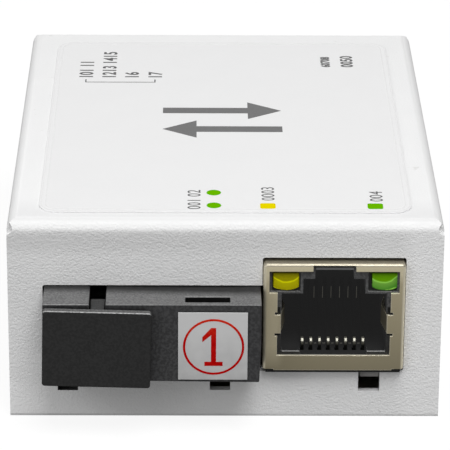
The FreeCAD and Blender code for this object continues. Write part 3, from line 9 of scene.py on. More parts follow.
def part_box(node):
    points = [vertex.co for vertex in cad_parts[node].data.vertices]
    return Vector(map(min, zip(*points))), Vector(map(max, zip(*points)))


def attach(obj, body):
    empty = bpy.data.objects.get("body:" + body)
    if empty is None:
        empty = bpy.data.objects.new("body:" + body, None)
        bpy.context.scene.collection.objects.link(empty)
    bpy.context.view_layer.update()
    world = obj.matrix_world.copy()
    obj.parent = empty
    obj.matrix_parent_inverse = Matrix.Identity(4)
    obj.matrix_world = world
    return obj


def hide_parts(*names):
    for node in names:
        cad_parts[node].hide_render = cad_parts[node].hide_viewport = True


# A small white fibre media converter. Sizes below are in millimetres and become metres through MM.

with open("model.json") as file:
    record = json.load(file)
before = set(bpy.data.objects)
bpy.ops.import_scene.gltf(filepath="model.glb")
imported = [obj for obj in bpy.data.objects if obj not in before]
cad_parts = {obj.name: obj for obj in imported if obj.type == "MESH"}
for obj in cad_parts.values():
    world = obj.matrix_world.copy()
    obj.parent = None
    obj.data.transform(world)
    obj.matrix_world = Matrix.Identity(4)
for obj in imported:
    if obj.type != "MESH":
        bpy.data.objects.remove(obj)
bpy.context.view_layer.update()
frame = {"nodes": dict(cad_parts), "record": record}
MM = 0.001
HOST = "converter"  # the body that does not move

Box = namedtuple("Box", "low high")


def box_of(node):
    """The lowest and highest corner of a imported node, in millimetres."""
    return Box(*(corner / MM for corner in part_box(node)))


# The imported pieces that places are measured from.
COVER = box_of("case_cover")
FILM_SHEET = box_of("top_overlay")
MODULE = box_of("sc_housing")
DUST_CAP = box_of("dust_cap")
STICKER = box_of("port_sticker")
SHIELD = box_of("rj45_shield")
JACK = box_of("rj45_housing")
CONTACTS = box_of("rj45_contacts")
CIRCUIT = box_of("main_board")
FRONT = COVER.low.y  # the panel's outer face
STEEL_TOP = COVER.high.z
FILM_TOP = FILM_SHEET.high.z
NOTCH_FLOOR = CIRCUIT.low.z - 1.2  # the floor of the three notches below the board, as packed
FLOOR_RISE = 2.68  # the floor of the jack's opening, up from the jack's foot
JACK_FLOOR = JACK.low.z + FLOOR_RISE
SLOT_LEFT, SLOT_RIGHT = -4.45, 0.95  # the sides of the slot in the module's top, as packed
GRIP_MIDDLE = -14.68  # the middle of the cap's grip tab

# ------------------------------------------------------------------------------------------ materials


def grey(value):
    return (value, value, value)


class Surface:
    """One procedural material: a Principled shader and the nodes that vary it, in millimetres."""

    def __init__(self, name, colour, roughness, **sockets):
        self.material = bpy.data.materials.new(name)
        self.material.use_nodes = True
        self.tree = self.material.node_tree
        self.shader = self.tree.nodes["Principled BSDF"]
        self.shader.inputs["Base Color"].default_value = (*colour, 1)
        self.shader.inputs["Roughness"].default_value = roughness
        for word, value in sockets.items():
            self.shader.inputs[word.replace("_", " ")].default_value = value
        self.place = self.node("ShaderNodeMapping")
        self.place.inputs["Scale"].default_value = (1 / MM, 1 / MM, 1 / MM)
        self.link(self.node("ShaderNodeTexCoord").outputs["Object"], self.place.inputs["Vector"])

    def node(self, kind, **settings):
        item = self.tree.nodes.new(kind)
        for word, value in settings.items():
            setattr(item, word, value)
        return item

    def link(self, output, socket):
        self.tree.links.new(output, socket)

    def noise(self, scale, detail=2.0, roughness=0.5, stretch=None):
        """Noise with about this many blobs in a millimetre, from 0 to 1."""
        item = self.node("ShaderNodeTexNoise")
        item.inputs["Scale"].default_value = scale
        item.inputs["Detail"].default_value = detail
        item.inputs["Roughness"].default_value = roughness
        vector = self.place.outputs["Vector"]
        if stretch:
            squeeze = self.node("ShaderNodeMapping")
            squeeze.inputs["Scale"].default_value = stretch
            self.link(vector, squeeze.inputs["Vector"])
            vector = squeeze.outputs["Vector"]
        self.link(vector, item.inputs["Vector"])
        return item.outputs["Fac"]

    def between(self, value, low, high, to_low=0.0, to_high=1.0):
        """Map a value from one range to another, held at the ends."""
        item = self.node("ShaderNodeMapRange")
        for socket, number in zip(item.inputs[1:5], (low, high, to_low, to_high)):
            socket.default_value = number
        self.link(value, item.inputs["Value"])
        return item.outputs["Result"]

    def band(self, value, rise, fall):
        """1 between two levels and 0 outside them; each edge is soft over its own pair of levels."""
        return self.times(self.between(value, fall[1], fall[0]), self.between(value, *rise))

    def math(self, operation, first, second=None):
        item = self.node("ShaderNodeMath", operation=operation)
        for socket, value in zip(item.inputs, (first, second)):
            if isinstance(value, (int, float)):
                socket.default_value = value
            elif value is not None:
                self.link(value, socket)
        return item.outputs["Value"]

    def times(self, first, *others):
        """The product of several masks, which is 1 only where all of them are, or of a mask and a share."""
        for other in others:
            first = self.math("MULTIPLY", first, other)
        return first

    def axis(self, word):
        """One coordinate in millimetres."""
        item = self.node("ShaderNodeSeparateXYZ")
        self.link(self.place.outputs["Vector"], item.inputs["Vector"])
        return item.outputs[word]

    def aside(self, middle):
        """The distance to either side of a middle, in millimetres."""
        return self.math("ABSOLUTE", self.math("SUBTRACT", self.axis("X"), middle))

    def facing(self, word):
        """How far the surface faces along an axis, from -1 to 1."""
        item = self.node("ShaderNodeSeparateXYZ")
        self.link(self.node("ShaderNodeNewGeometry").outputs["Normal"], item.inputs["Vector"])
        return item.outputs[word]

    def highlight_edges(self, radius=0.18, lift=(0.15, 0.45)):
        """A mask for painted edge highlights: 1 along edges, and only along those that look up by more than
        the lift.
        """
        bevel = self.node("ShaderNodeBevel", samples=6)
        bevel.inputs["Radius"].default_value = radius * MM
        turned = self.node("ShaderNodeVectorMath", operation="DOT_PRODUCT")
        self.link(bevel.outputs["Normal"], turned.inputs[0])
        self.link(self.node("ShaderNodeNewGeometry").outputs["True Normal"], turned.inputs[1])
        parts = self.node("ShaderNodeSeparateXYZ")
        self.link(bevel.outputs["Normal"], parts.inputs["Vector"])
        upward = self.between(parts.outputs["Z"], *lift)
        return self.times(self.between(turned.outputs["Value"], 0.985, 0.90), upward)

    def open_sky(self, distance, low, high):
        """A mask for painted shade: 0 down in narrow recesses and 1 on open faces."""
        item = self.node("ShaderNodeAmbientOcclusion", samples=6)
        item.inputs["Distance"].default_value = distance * MM
        return self.between(item.outputs["AO"], low, high)

    def within(self, low, high):
        """1 inside a box given by two corners, and 0 outside it."""
        soft = 0.02
        edges = []
        for word, start, end in zip("XYZ", low, high):
            edges.append(self.between(self.axis(word), start, start + soft))
            edges.append(self.between(self.axis(word), end, end - soft))
        return self.times(*edges)

    def blend(self, factor, first, second):
        """Mix two colours; each is a colour or a socket."""
        item = self.node("ShaderNodeMix", data_type="RGBA")
        self.link(factor, item.inputs[0])
        for socket, value in zip(item.inputs[6:8], (first, second)):
            if isinstance(value, tuple):
                socket.default_value = (*value, 1)
            else:
                self.link(value, socket)
        return item.outputs[2]

    def paint(self, tone, layers):
        """Lay colours over a tone one after another; each layer is (mask, colour)."""
        for mask, colour in layers:
            tone = self.blend(mask, tone, colour)
        return tone

    def colour(self, output):
        self.link(output, self.shader.inputs["Base Color"])

    def glow(self, output):
        """A faint white light of its own, which stands for light scattered in a deep cavity."""
        self.shader.inputs["Emission Color"].default_value = (1, 1, 1, 1)
        self.link(output, self.shader.inputs["Emission Strength"])

    def cloudy(self, scale, detail, low, high, stretch=None):
        """Let the roughness drift between two values."""
        output = self.between(self.noise(scale, detail, stretch=stretch), 0.3, 0.7, low, high)
        self.link(output, self.shader.inputs["Roughness"])

    def bumps(self, *layers, rounding=None):
        """Raise the surface by several height fields; each is (height, depth in millimetres)."""
        normal = None
        if rounding:
            item = self.node("ShaderNodeBevel", samples=4)
            item.inputs["Radius"].default_value = rounding * MM
            normal = item.outputs["Normal"]
        for height, depth in layers:
            item = self.node("ShaderNodeBump")
            item.inputs["Distance"].default_value = depth * MM
            self.link(height, item.inputs["Height"])
            if normal:
                self.link(normal, item.inputs["Normal"])
            normal = item.outputs["Normal"]
        self.link(normal, self.shader.inputs["Normal"])


def powder_coat():
    """White powder coat: orange peel, a few specks, and the soft light and shade on the cover."""
    skin = Surface("powder_coat", grey(0.80), 0.5, Specular_IOR_Level=0.4)
    specks = skin.between(skin.noise(0.9, 4), 0.70, 0.76)
    tone = skin.blend(skin.noise(0.12, 3), (0.785, 0.787, 0.79), (0.815, 0.815, 0.812))
    tone = skin.blend(specks, tone, (0.70, 0.70, 0.69))
    skin.colour(skin.paint(tone, top_shades(skin) + panel_shades(skin) + low_shades(skin)))
    skin.cloudy(0.6, 3, 0.44, 0.56)
    calm = skin.between(skin.facing("Z"), 0.9, 0.1, 0.25, 1.0)  # the top shows less of its peel
    skin.bumps((skin.times(skin.noise(4.2, 2, 0.5), calm), 0.084),
               (skin.times(skin.noise(9, 2), calm), 0.030))
    return skin.material


def top_shades(skin):
    """Layers of painted shade for the bend at the top's front edge and the margin in front of the film."""
    up = skin.facing("Z")
    bend = skin.times(skin.between(skin.facing("Y"), -0.12, -0.35), skin.between(up, 0.60, 0.85))
    near = skin.between(skin.axis("Y"), FRONT + 6.5, FRONT + 2.5)
    margin = skin.times(skin.between(up, 0.88, 0.97), near)
    return [(bend, grey(0.70)), (margin, (0.745, 0.745, 0.747))]


def panel_shades(skin):
    """The panel's upper part: a painted shade, a painted light line above it, and painted light on the right
    corner.
    """
    across, height = skin.axis("X"), skin.axis("Z")
    panel = skin.between(skin.facing("Y"), -0.80, -0.95)
    shade = skin.band(height, (STEEL_TOP - 4.6, STEEL_TOP - 3.2), (STEEL_TOP - 2.0, STEEL_TOP - 1.3))
    shade = skin.times(shade, panel, skin.between(across, -12, 14, 1.0, 0.4))
    line = skin.band(height, (STEEL_TOP - 1.7, STEEL_TOP - 1.1), (STEEL_TOP - 0.9, STEEL_TOP - 0.6))
    corner = skin.between(across, COVER.high.x - 5.25, COVER.high.x - 3.25, 0, 0.8)
    return [(shade, grey(0.705)), (skin.times(line, panel), grey(0.90)),
            (skin.times(panel, corner), grey(0.875))]


def low_shades(skin):
    """The panel's lower part: painted light with a leaning edge, a painted shade, and painted shade along
    the foot and on the left notch's sill.
    """
    lean = 1.33  # how far the light's edge moves to the left as it rises
    across, height = skin.axis("X"), skin.axis("Z")
    panel = skin.between(skin.facing("Y"), -0.80, -0.95)
    slant = skin.math("ADD", across, skin.times(height, lean))
    below = skin.between(height, MODULE.low.z - 0.8, MODULE.low.z - 3.3)
    beside = skin.times(skin.between(across, MODULE.low.x + 0.8, MODULE.low.x - 2.0),
                        skin.between(height, MODULE.high.z + 0.3, 3, 0.0, 0.5))
    lit = skin.math("MAXIMUM", beside, skin.times(skin.between(slant, -13.5, -20.0), below))
    dim = skin.times(skin.between(slant, -15.5, -11.0), below, panel, skin.between(across, -3, -8))
    foot = skin.times(panel, skin.between(height, 0.34, 0.16))
    sill = skin.within((MODULE.low.x + 1.2, FRONT - 0.2, NOTCH_FLOOR - 0.4),
                       (MODULE.low.x + 4.0, FRONT + 1.5, NOTCH_FLOOR - 0.15))
    sill = skin.times(sill, skin.between(skin.facing("Z"), 0.5, 0.8))
    return [(skin.times(lit, panel), grey(0.94)), (dim, grey(0.70)), (foot, grey(0.60)),
            (sill, grey(0.03))]


def printed_film():
    """The smooth white film on the top, with a slight drift in its tone."""
    skin = Surface("printed_film", grey(0.80), 0.42, Specular_IOR_Level=0.5)
    skin.colour(skin.blend(skin.noise(0.2, 4), (0.77, 0.77, 0.772), grey(0.79)))
    skin.cloudy(2.2, 3, 0.36, 0.48)
    skin.bumps((skin.noise(6, 2), 0.004))
    return skin.material


def label_paper():
    """Matt paper label, a little grey and mottled, with painted light that makes it lighter towards its top.
    """
    skin = Surface("label_paper", grey(0.62), 0.7, Specular_IOR_Level=0.25)
    rise = skin.between(skin.axis("Z"), STICKER.low.z, STICKER.high.z - 2)
    mottle = skin.between(skin.noise(0.5, 4), 0.35, 0.65, 0, 0.35)
    skin.colour(skin.blend(mottle, skin.blend(rise, grey(0.43), grey(0.60)), (0.66, 0.66, 0.655)))
    skin.cloudy(3, 3, 0.62, 0.78)
    skin.bumps((skin.noise(5, 3), 0.006))
    return skin.material


def ink(name, colour, wear=0.08):
    """Screen-printed ink, slightly uneven."""
    skin = Surface(name, colour, 0.6, Specular_IOR_Level=0.0)
    pale = tuple(c * (1 + wear) for c in colour)
    skin.colour(skin.blend(skin.between(skin.noise(3, 3), 0.35, 0.7), colour, pale))
    skin.cloudy(5, 2, 0.42, 0.58)
    skin.bumps((skin.noise(8, 2), 0.003))
    return skin.material


def red_ink():
    """Red print with painted light: it turns towards orange where more light falls on it."""
    skin = Surface("red_ink", (0.45, 0.0, 0.0), 0.6, Specular_IOR_Level=0.05)
    rise = skin.between(skin.axis("Z"), STICKER.low.z + 4.8, STICKER.high.z - 1.4)
    tint = skin.blend(rise, (0.43, 0.0, 0.0), (0.66, 0.035, 0.01))
    skin.colour(skin.blend(skin.between(skin.noise(3, 3), 0.4, 0.7), tint, (0.52, 0.004, 0.003)))
    skin.cloudy(5, 2, 0.5, 0.66)
    skin.bumps((skin.noise(8, 2), 0.003))
    return skin.material


def moulding(name, dark, light, roughness, grain, depth, dust_and_sheen, edge, fleck, shades):
    """Black moulded plastic: spark-eroded grain, dust and a painted sheen on top faces, painted highlights
    on edges that look up, painted shade in recesses, and its own painted shades.
    """
    skin = Surface(name, dark, roughness, Specular_IOR_Level=0.4)
    tone = skin.blend(skin.noise(0.5, 4), dark, light)
    specks = skin.between(skin.noise(11, 2, 0.7), 0.62, 0.78)
    flecks = skin.between(skin.noise(3.2, 3, 0.6), 0.42, 0.58)
    cloud = skin.between(skin.noise(4.5, 3, 0.6), 0.40, 0.60, 0.40, 1.0)
    # dust and a painted sheen: faces that look up turn lighter in patches
    top = skin.times(skin.between(skin.facing("Z"), 0.35, 0.95), cloud)
    # painted highlights along edges that look up
    edge_highlight = skin.times(skin.highlight_edges(), skin.between(skin.noise(7, 3, 0.6), 0.35, 0.6))
    # painted highlight along the top front edges, which face the light
    brow_highlight = skin.times(skin.between(skin.facing("Z"), 0.25, 0.5),
                      skin.between(skin.facing("Y"), -0.2, -0.45),
                      skin.between(skin.noise(3, 3, 0.6), 0.40, 0.60, 0.35, 1.0))
    tone = skin.paint(tone, [
        (specks, tuple(c * 2.4 for c in light)), (flecks, tuple(c * fleck for c in light)),
        (top, grey(dust_and_sheen)), (edge_highlight, grey(edge)), (brow_highlight, grey(edge * 1.4))])
    # painted shade: narrow recesses turn nearly black
    tone = skin.blend(skin.open_sky(1.2, 0.30, 0.70), grey(0.004), tone)
    skin.colour(skin.paint(tone, shades(skin)))
    skin.cloudy(1.2, 3, roughness - 0.07, roughness + 0.08)
    skin.bumps((skin.noise(grain, 3, 0.6), depth), rounding=0.12)
    return skin.material


def module_shades(skin):
    """Painted shade on the floor of the module's slot, and painted shade where the module leaves the panel.
    """
    slot = skin.within((SLOT_LEFT - 0.35, MODULE.low.y + 1.0, MODULE.high.z - 4),
                       (SLOT_RIGHT - 0.25, MODULE.low.y + 3, MODULE.high.z - 0.06))
    wider_right = skin.between(skin.axis("X"), MODULE.low.x + 3, MODULE.high.x, 0.8, 0.0)
    shift = skin.math("ADD", wider_right, skin.between(skin.noise(1.2, 3), 0, 1, -0.5, 0.5))
    near = skin.between(skin.math("SUBTRACT", skin.axis("Y"), shift), FRONT - 3.0, FRONT - 1.4)
    outside = skin.between(skin.axis("Y"), FRONT + 3, FRONT + 2)
    return [(slot, grey(0.002)), (skin.times(near, outside), grey(0.007))]


def grip_shades(skin):
    """The cap's grip tab, which lies in the shade of its slot."""
    tab = skin.within((GRIP_MIDDLE - 1.02, DUST_CAP.low.y + 1.3, DUST_CAP.high.z - 1.7),
                      (GRIP_MIDDLE + 1.08, DUST_CAP.low.y + 6, DUST_CAP.high.z - 0.3))
    return [(skin.times(tab, 0.72), grey(0.007))]


def jack_insert():
    """The jack's black body: grained front ledges with painted highlights on their edges, painted shade in
    the cavity and on gaps beside the opening, and an even, dim painted glow down in the cavity.
    """
    skin = Surface("insert_moulding", grey(0.05), 0.55, Specular_IOR_Level=0.3)
    height = skin.axis("Z")
    tone = skin.blend(skin.between(skin.noise(4, 4, 0.6), 0.35, 0.65), (0.048, 0.048, 0.049),
                      (0.115, 0.115, 0.116))
    tone = skin.blend(skin.between(height, JACK.low.z + 3.0, JACK.low.z + 9.5), grey(0.020), tone)
    # painted highlights along edges that look up
    edge_highlight = skin.times(skin.highlight_edges(0.14), skin.between(skin.noise(6, 3), 0.35, 0.6))
    tone = skin.blend(edge_highlight, tone, grey(0.30))
    cheek = skin.between(skin.aside((JACK.low.x + JACK.high.x) / 2), 6.2, 6.25)
    # painted shadow: two gaps beside the opening turn nearly black
    for foot, tall in ((4.85, 0.34), (7.48, 0.88)):  # the shadowed gaps beside the opening
        low, high = JACK.low.z + foot, JACK.low.z + foot + tall
        gap = skin.times(skin.band(height, (low - 0.02, low), (high, high + 0.02)), cheek)
        tone = skin.blend(gap, tone, grey(0.002))
    # painted shade: the cavity turns darker from its front inwards
    inside = skin.between(skin.axis("Y"), JACK.low.y + 0.1, JACK.low.y + 1.2)
    skin.colour(skin.blend(inside, tone, grey(0.006)))
    # painted glow: a faint light of its own high up in the cavity, in streaks
    high_up = skin.between(height, JACK.low.z + 10, JACK.low.z + 12)
    glow_streaks = skin.between(skin.noise(0.75, 2, stretch=(1.6, 0.2, 0.35)), 0.45, 0.75, 0.4, 1.6)
    painted_glow = skin.between(skin.times(high_up, glow_streaks), 0, 1, 0.0125, 0.026)
    skin.glow(skin.times(painted_glow, inside))
    skin.cloudy(1.2, 3, 0.48, 0.62)
    skin.bumps((skin.noise(6, 3, 0.6), 0.01), rounding=0.08)
    return skin.material


def metal(name, colour, roughness, brush=(1, 1, 1)):
    """Plated or plain metal with a brushed grain and cloudy tarnish."""
    skin = Surface(name, colour, roughness, Metallic=1.0)
    tarnish = tuple(c * 0.75 for c in colour)
    skin.colour(skin.blend(skin.between(skin.noise(0.35, 5), 0.3, 0.7), colour, tarnish))
    skin.cloudy(2, 3, roughness - 0.06, roughness + 0.08, stretch=brush)
    skin.bumps((skin.noise(9, 2, stretch=brush), 0.006), rounding=0.06)
    return skin.material


def shield_plate():
    """Warm nickel plate, painted lighter above and darker below as a reflection of a light room above and a
    dim table below, with painted highlights and shade on its edges, folds and tongues.
    """
    skin = Surface("nickel_plate", (0.8, 0.7, 0.5), 0.4, Metallic=0.72)
    bright = (1.0, 0.90, 0.64)
    low, high = SHIELD.low.z, SHIELD.high.z
    middle = (SHIELD.low.x + SHIELD.high.x) / 2
    height, up = skin.axis("Z"), skin.facing("Z")
    plate = skin.blend(skin.between(height, low, high - 2.5), (0.30, 0.265, 0.178), (0.66, 0.58, 0.385))
    top_strip = skin.between(height, high - 2.5, high - 1.2)
    left_flank = skin.times(skin.between(skin.axis("X"), SHIELD.low.x + 2.48, SHIELD.low.x + 1.58, 0, 0.5),
                            skin.between(height, low + 3.6, low + 6.5))
    grain = skin.between(skin.noise(7, 3, 0.6, stretch=(0.5, 1, 2.5)), 0.35, 0.65, 0.0, 0.16)
    rolled = skin.between(skin.math("ABSOLUTE", skin.facing("X")), 0.1, 0.5)
    cut = skin.between(up, 0.8, 0.95)
    top_cut = skin.times(cut, skin.between(height, high - 0.4, high - 0.3))
    fold = skin.times(skin.between(up, 0.08, 0.4), skin.between(height, high - 0.6, high - 0.4))
    tongues = skin.within((middle - 6.6, SHIELD.low.y + 0.35, low + 6.4),
                          (middle + 6.6, SHIELD.low.y + 5, low + 12.8))
    rim = skin.times(skin.highlight_edges(0.13, lift=(-1.1, -1.0)), skin.between(skin.aside(middle), 7.3, 7.1),
                     skin.between(height, high - 0.9, high - 1.0))
    # painted light and shade: highlights on the top strip, left flank, rolled sides, upward cut faces and
    # the opening's rim; shade on the top's cut face, the fold and the tongues; the grain is the plate's own
    skin.colour(skin.paint(plate, [
        (top_strip, bright), (left_flank, bright), (grain, (0.40, 0.355, 0.25)),
        (rolled, (0.95, 0.88, 0.68)), (cut, (1.0, 0.95, 0.78)), (top_cut, (0.06, 0.054, 0.04)),
        (fold, (0.42, 0.385, 0.30)), (skin.times(tongues, 0.8), (0.10, 0.09, 0.055)),
        (rim, (1.0, 0.93, 0.74))]))
    skin.cloudy(7, 3, 0.36, 0.5, stretch=(0.3, 1, 3))
    skin.bumps((skin.noise(10, 3, stretch=(0.4, 1, 3)), 0.005), rounding=0.06)
    return skin.material


def contact_wire():
    """Gold-flashed spring wire with painted shade: nearly black except near the front above the floor, so
    its front feet fall away into shadow; a faint painted glow lies just behind the tips.
    """
    skin = Surface("contact_wire", (0.5, 0.48, 0.40), 0.36, Metallic=0.85)
    tip = CONTACTS.low.y
    # painted shade: the wire turns nearly black outside this lit part
    lit = skin.times(skin.between(skin.axis("Y"), tip + 0.75, tip + 0.45),
                     skin.between(skin.axis("Z"), JACK_FLOOR + 0.07, JACK_FLOOR + 0.72))
    tone = skin.blend(skin.noise(1.5, 1), (0.36, 0.352, 0.30), (0.27, 0.264, 0.224))
    skin.colour(skin.blend(lit, (0.010, 0.010, 0.009), tone))
    # painted glow just behind the tips
    inside = skin.between(skin.axis("Y"), tip + 0.4, tip + 1.0, 0, 0.0125)
    skin.glow(skin.times(inside, skin.between(skin.axis("Z"), JACK_FLOOR - 0.08, JACK_FLOOR + 0.22)))
    skin.cloudy(5, 2, 0.42, 0.52)
    skin.bumps((skin.noise(9, 2), 0.006), rounding=0.06)
    return skin.material


def led_lens(name, node, above, below, line):
    """Tinted moulding with painted light and shade: the bowed edge of its bulb shows as a painted light
    curve across it, with a painted highlight along it, painted shade at the top and a painted glint near the
    bottom edge.
    """
    drop = 1.22  # from the lens's top down to the bulb's edge
    bulb_bow, rim_bow = 0.30, 0.17  # how fast each edge curves up to the sides
    skin = Surface(name, above, 0.4, Specular_IOR_Level=0.1)
    lens = box_of(node)
    height = skin.axis("Z")
    aside = skin.math("SUBTRACT", skin.axis("X"), (lens.low.x + lens.high.x) / 2)
    squared = skin.times(aside, aside)
    wave = skin.between(skin.noise(1.1, 2), 0, 1, -0.12, 0.12)
    curve = skin.math("ADD", skin.times(squared, bulb_bow), wave)
    level = skin.math("SUBTRACT", skin.math("SUBTRACT", height, lens.high.z - drop), curve)
    bulb = skin.blend(skin.between(level, -1.1, 0.0), below, line)
    body = skin.blend(skin.between(level, -0.02, 0.06), bulb, above)
    # painted highlight along the curve
    curve_highlight = skin.times(skin.between(level, -0.20, -0.02), skin.between(level, 0.14, 0.02), 0.7)
    shade = skin.between(height, lens.high.z - 0.30, lens.high.z - 0.02)
    rim = skin.math("ADD", lens.low.z + 0.06, skin.times(squared, rim_bow))
    glint = skin.times(skin.between(skin.math("SUBTRACT", height, rim), 0.14, 0.04),
                       skin.between(skin.noise(1.6, 2), 0.42, 0.6))
    skin.colour(skin.paint(body, [
        (curve_highlight, tuple(min(1, c * 2.0) for c in line)), (shade, tuple(c * 0.3 for c in above)),
        (glint, tuple(min(1, c * 1.8) for c in line))]))
    skin.cloudy(3, 2, 0.36, 0.46)
    skin.bumps((skin.noise(1.5, 1), 0.01))
    return skin.material


def circuit_board():
    """Green solder mask with faint tracks; the cut edges show the pale glass fibre."""
    skin = Surface("circuit_board", (0.02, 0.12, 0.05), 0.4, Specular_IOR_Level=0.5)
    tracks = skin.between(skin.noise(0.9, 0, stretch=(1, 6, 1)), 0.48, 0.52)
    mask = skin.blend(tracks, (0.012, 0.085, 0.035), (0.025, 0.16, 0.06))
    # painted shade: the board's front three millimetres turn dark, fading out by five
    shade = skin.between(skin.axis("Y"), CIRCUIT.low.y + 3, CIRCUIT.low.y + 5)
    mask = skin.blend(shade, (0.004, 0.006, 0.005), mask)
    flat = skin.between(skin.math("ABSOLUTE", skin.facing("Z")), 0.6, 0.8)
    fibre = skin.blend(skin.noise(6, 4, stretch=(1, 1, 4)), (0.42, 0.415, 0.40), (0.20, 0.198, 0.19))
    skin.colour(skin.blend(flat, fibre, mask))
    skin.link(skin.between(flat, 0, 1, 0.85, 0.35), skin.shader.inputs["Roughness"])
    skin.bumps((tracks, 0.01), (skin.noise(9, 3), 0.01))
    return skin.material


def plain(name, colour, roughness, grain=5.0, depth=0.006, **sockets):
    """A small part's finish: two close tones and a fine grain."""
    skin = Surface(name, colour, roughness, **sockets)
    darker = tuple(c * 0.8 for c in colour)
    skin.colour(skin.blend(skin.noise(0.8, 4), colour, darker))
    skin.cloudy(2, 3, roughness * 0.85, min(1, roughness * 1.15))
    skin.bumps((skin.noise(grain, 3), depth))
    return skin.material


WHITE = powder_coat()
FILM = printed_film()
LABEL = label_paper()
BLACK = moulding("black_moulding", (0.022, 0.022, 0.023), (0.030, 0.030, 0.031), roughness=0.55, grain=7,
                 depth=0.012, dust_and_sheen=0.165, edge=0.24, fleck=1.7, shades=module_shades)
CAP = moulding("cap_moulding", grey(0.011), grey(0.014), roughness=0.62, grain=9,
               depth=0.008, dust_and_sheen=0.12, edge=0.34, fleck=1.45, shades=grip_shades)
INSERT = jack_insert()
NICKEL = shield_plate()
WIRE = contact_wire()
ZINC = metal("zinc_plate", (0.62, 0.63, 0.65), 0.35)
TIN = metal("tinned_leads", (0.68, 0.68, 0.67), 0.3)
GOLD = metal("gold_plate", (0.90, 0.82, 0.60), 0.22)
ALUMINIUM = metal("bare_aluminium", (0.78, 0.78, 0.79), 0.36, brush=(1, 8, 1))
YELLOW = led_lens("yellow_lens", "rj45_led_yellow", (0.38, 0.35, 0.0), (0.38, 0.34, 0.0), (0.53, 0.50, 0.0))
GREEN = led_lens("green_lens", "rj45_led_green", (0.15, 0.40, 0.0), (0.06, 0.25, 0.02), (0.20, 0.46, 0.06))
BOARD = circuit_board()
CHIP = plain("chip_epoxy", (0.022, 0.022, 0.024), 0.5, 8, 0.008)
CERAMIC = plain("ceramic", (0.78, 0.77, 0.73), 0.3)
CLEAR = plain("clear_moulding", (0.80, 0.82, 0.84), 0.12, 2, 0.01, Transmission_Weight=0.8)
LAMP = plain("lamp_epoxy", (0.70, 0.74, 0.62), 0.2)
SHEET = plain("insulating_film", (0.66, 0.62, 0.50), 0.35)
RED_SWITCH = plain("switch_moulding", (0.42, 0.02, 0.015), 0.42)
SLIDER = plain("slider_moulding", (0.78, 0.77, 0.74), 0.4)

NODE_FINISH = {
    "case_cover": WHITE, "base_plate": WHITE, "cover_screws": ZINC, "board_standoffs": ZINC,
    "board_screws": ZINC, "insulating_sheet": SHEET, "top_overlay": FILM, "main_board": BOARD,
    "sc_housing": BLACK, "sc_base": BLACK, "sc_module_board": BOARD, "sc_pins": GOLD, "sc_posts": TIN,
    "sc_sleeve_holder": BLACK, "sc_ceramic_sleeve": CERAMIC, "sc_latch_arms": BLACK, "optical_barrel": ZINC,
    "laser_can": GOLD, "receiver_can": GOLD, "dust_cap": CAP, "port_sticker": LABEL,
    "rj45_shield": NICKEL, "rj45_housing": INSERT, "rj45_contacts": WIRE, "rj45_led_yellow": YELLOW,
    "rj45_led_green": GREEN, "rj45_led_leads": TIN, "light_guide": CLEAR, "status_lamps": LAMP,
    "dc_jack_housing": BLACK, "dc_jack_pin": TIN, "dc_jack_spring": TIN, "dip_switch_body": RED_SWITCH,
    "dip_switch_pins": TIN, "main_chip": CHIP, "main_chip_leads": TIN, "heat_sink": ALUMINIUM,
    "transformer": CHIP, "transformer_leads": TIN, "crystal": ALUMINIUM, "capacitors": ALUMINIUM,
    "power_inductor": CHIP, "memory_chip": CHIP, "memory_chip_leads": TIN, "regulator": CHIP,
    "small_parts": CERAMIC, "dip_slider_1": SLIDER, "dip_slider_2": SLIDER, "dip_slider_3": SLIDER,
    "dip_slider_4": SLIDER,
}

# --------------------------------------------------------------------------------------------- pieces

EDGE_WIDTHS = {  # how far each visible piece's sharp edges are rounded over
    "case_cover": 0.12, "base_plate": 0.1, "sc_housing": 0.12, "dust_cap": 0.16, "rj45_shield": 0.05,
    "rj45_housing": 0.06, "rj45_contacts": 0.07, "rj45_led_yellow": 0.18, "rj45_led_green": 0.18,
    "dc_jack_housing": 0.2, "dc_jack_pin": 0.12, "dip_switch_body": 0.1, "cover_screws": 0.06,
    "dip_slider_1": 0.12, "dip_slider_2": 0.12, "dip_slider_3": 0.12, "dip_slider_4": 0.12,
    "port_sticker": 0.03,
}
SHARP = math.radians(25)  # edges that turn by more than this are rounded over
NEARBY = 0.01  # how close a corner has to lie to a face to count as on it


def add_piece(name, mesh, material, body=HOST):
    piece = bpy.data.objects.new(name, mesh)
    bpy.context.scene.collection.objects.link(piece)
    mesh.materials.clear()
    mesh.materials.append(material)
    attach(piece, body)
    return piece


def softened(node, width, lowered=0.0, edit=None):
    """A piece with the node's own shape whose sharp edges are rounded over by a small width."""
    mesh = bpy.data.meshes.new(f"{node}_look")
    shape = bmesh.new()
    shape.from_mesh(frame["nodes"][node].data)
    bmesh.ops.remove_doubles(shape, verts=shape.verts, dist=1e-6)
    bmesh.ops.dissolve_limit(shape, angle_limit=math.radians(1), verts=shape.verts, edges=shape.edges)
    top = max(vert.co.z for vert in shape.verts)
    for vert in shape.verts:
        if vert.co.z > top - lowered * MM:
            vert.co.z -= lowered * MM
    if edit:
        for vert in shape.verts:
            vert.co = Vector(edit(*(vert.co / MM))) * MM
    for face in shape.faces:
        face.smooth = True
    for edge in shape.edges:
        edge.smooth = edge.calc_face_angle(0) < SHARP
    shape.to_mesh(mesh)
    shape.free()
    body = next(name for name, nodes in frame["record"]["behaviour"]["bodies"].items() if node in nodes)
    piece = add_piece(f"{node}_look", mesh, NODE_FINISH[node], body)
    bevel = piece.modifiers.new("edges", "BEVEL")
    bevel.width = width * MM
    bevel.segments = 2
    bevel.limit_method = "ANGLE"
    bevel.angle_limit = SHARP
    bevel.use_clamp_overlap = True
    bevel.harden_normals = True
    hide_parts(node)
    return piece


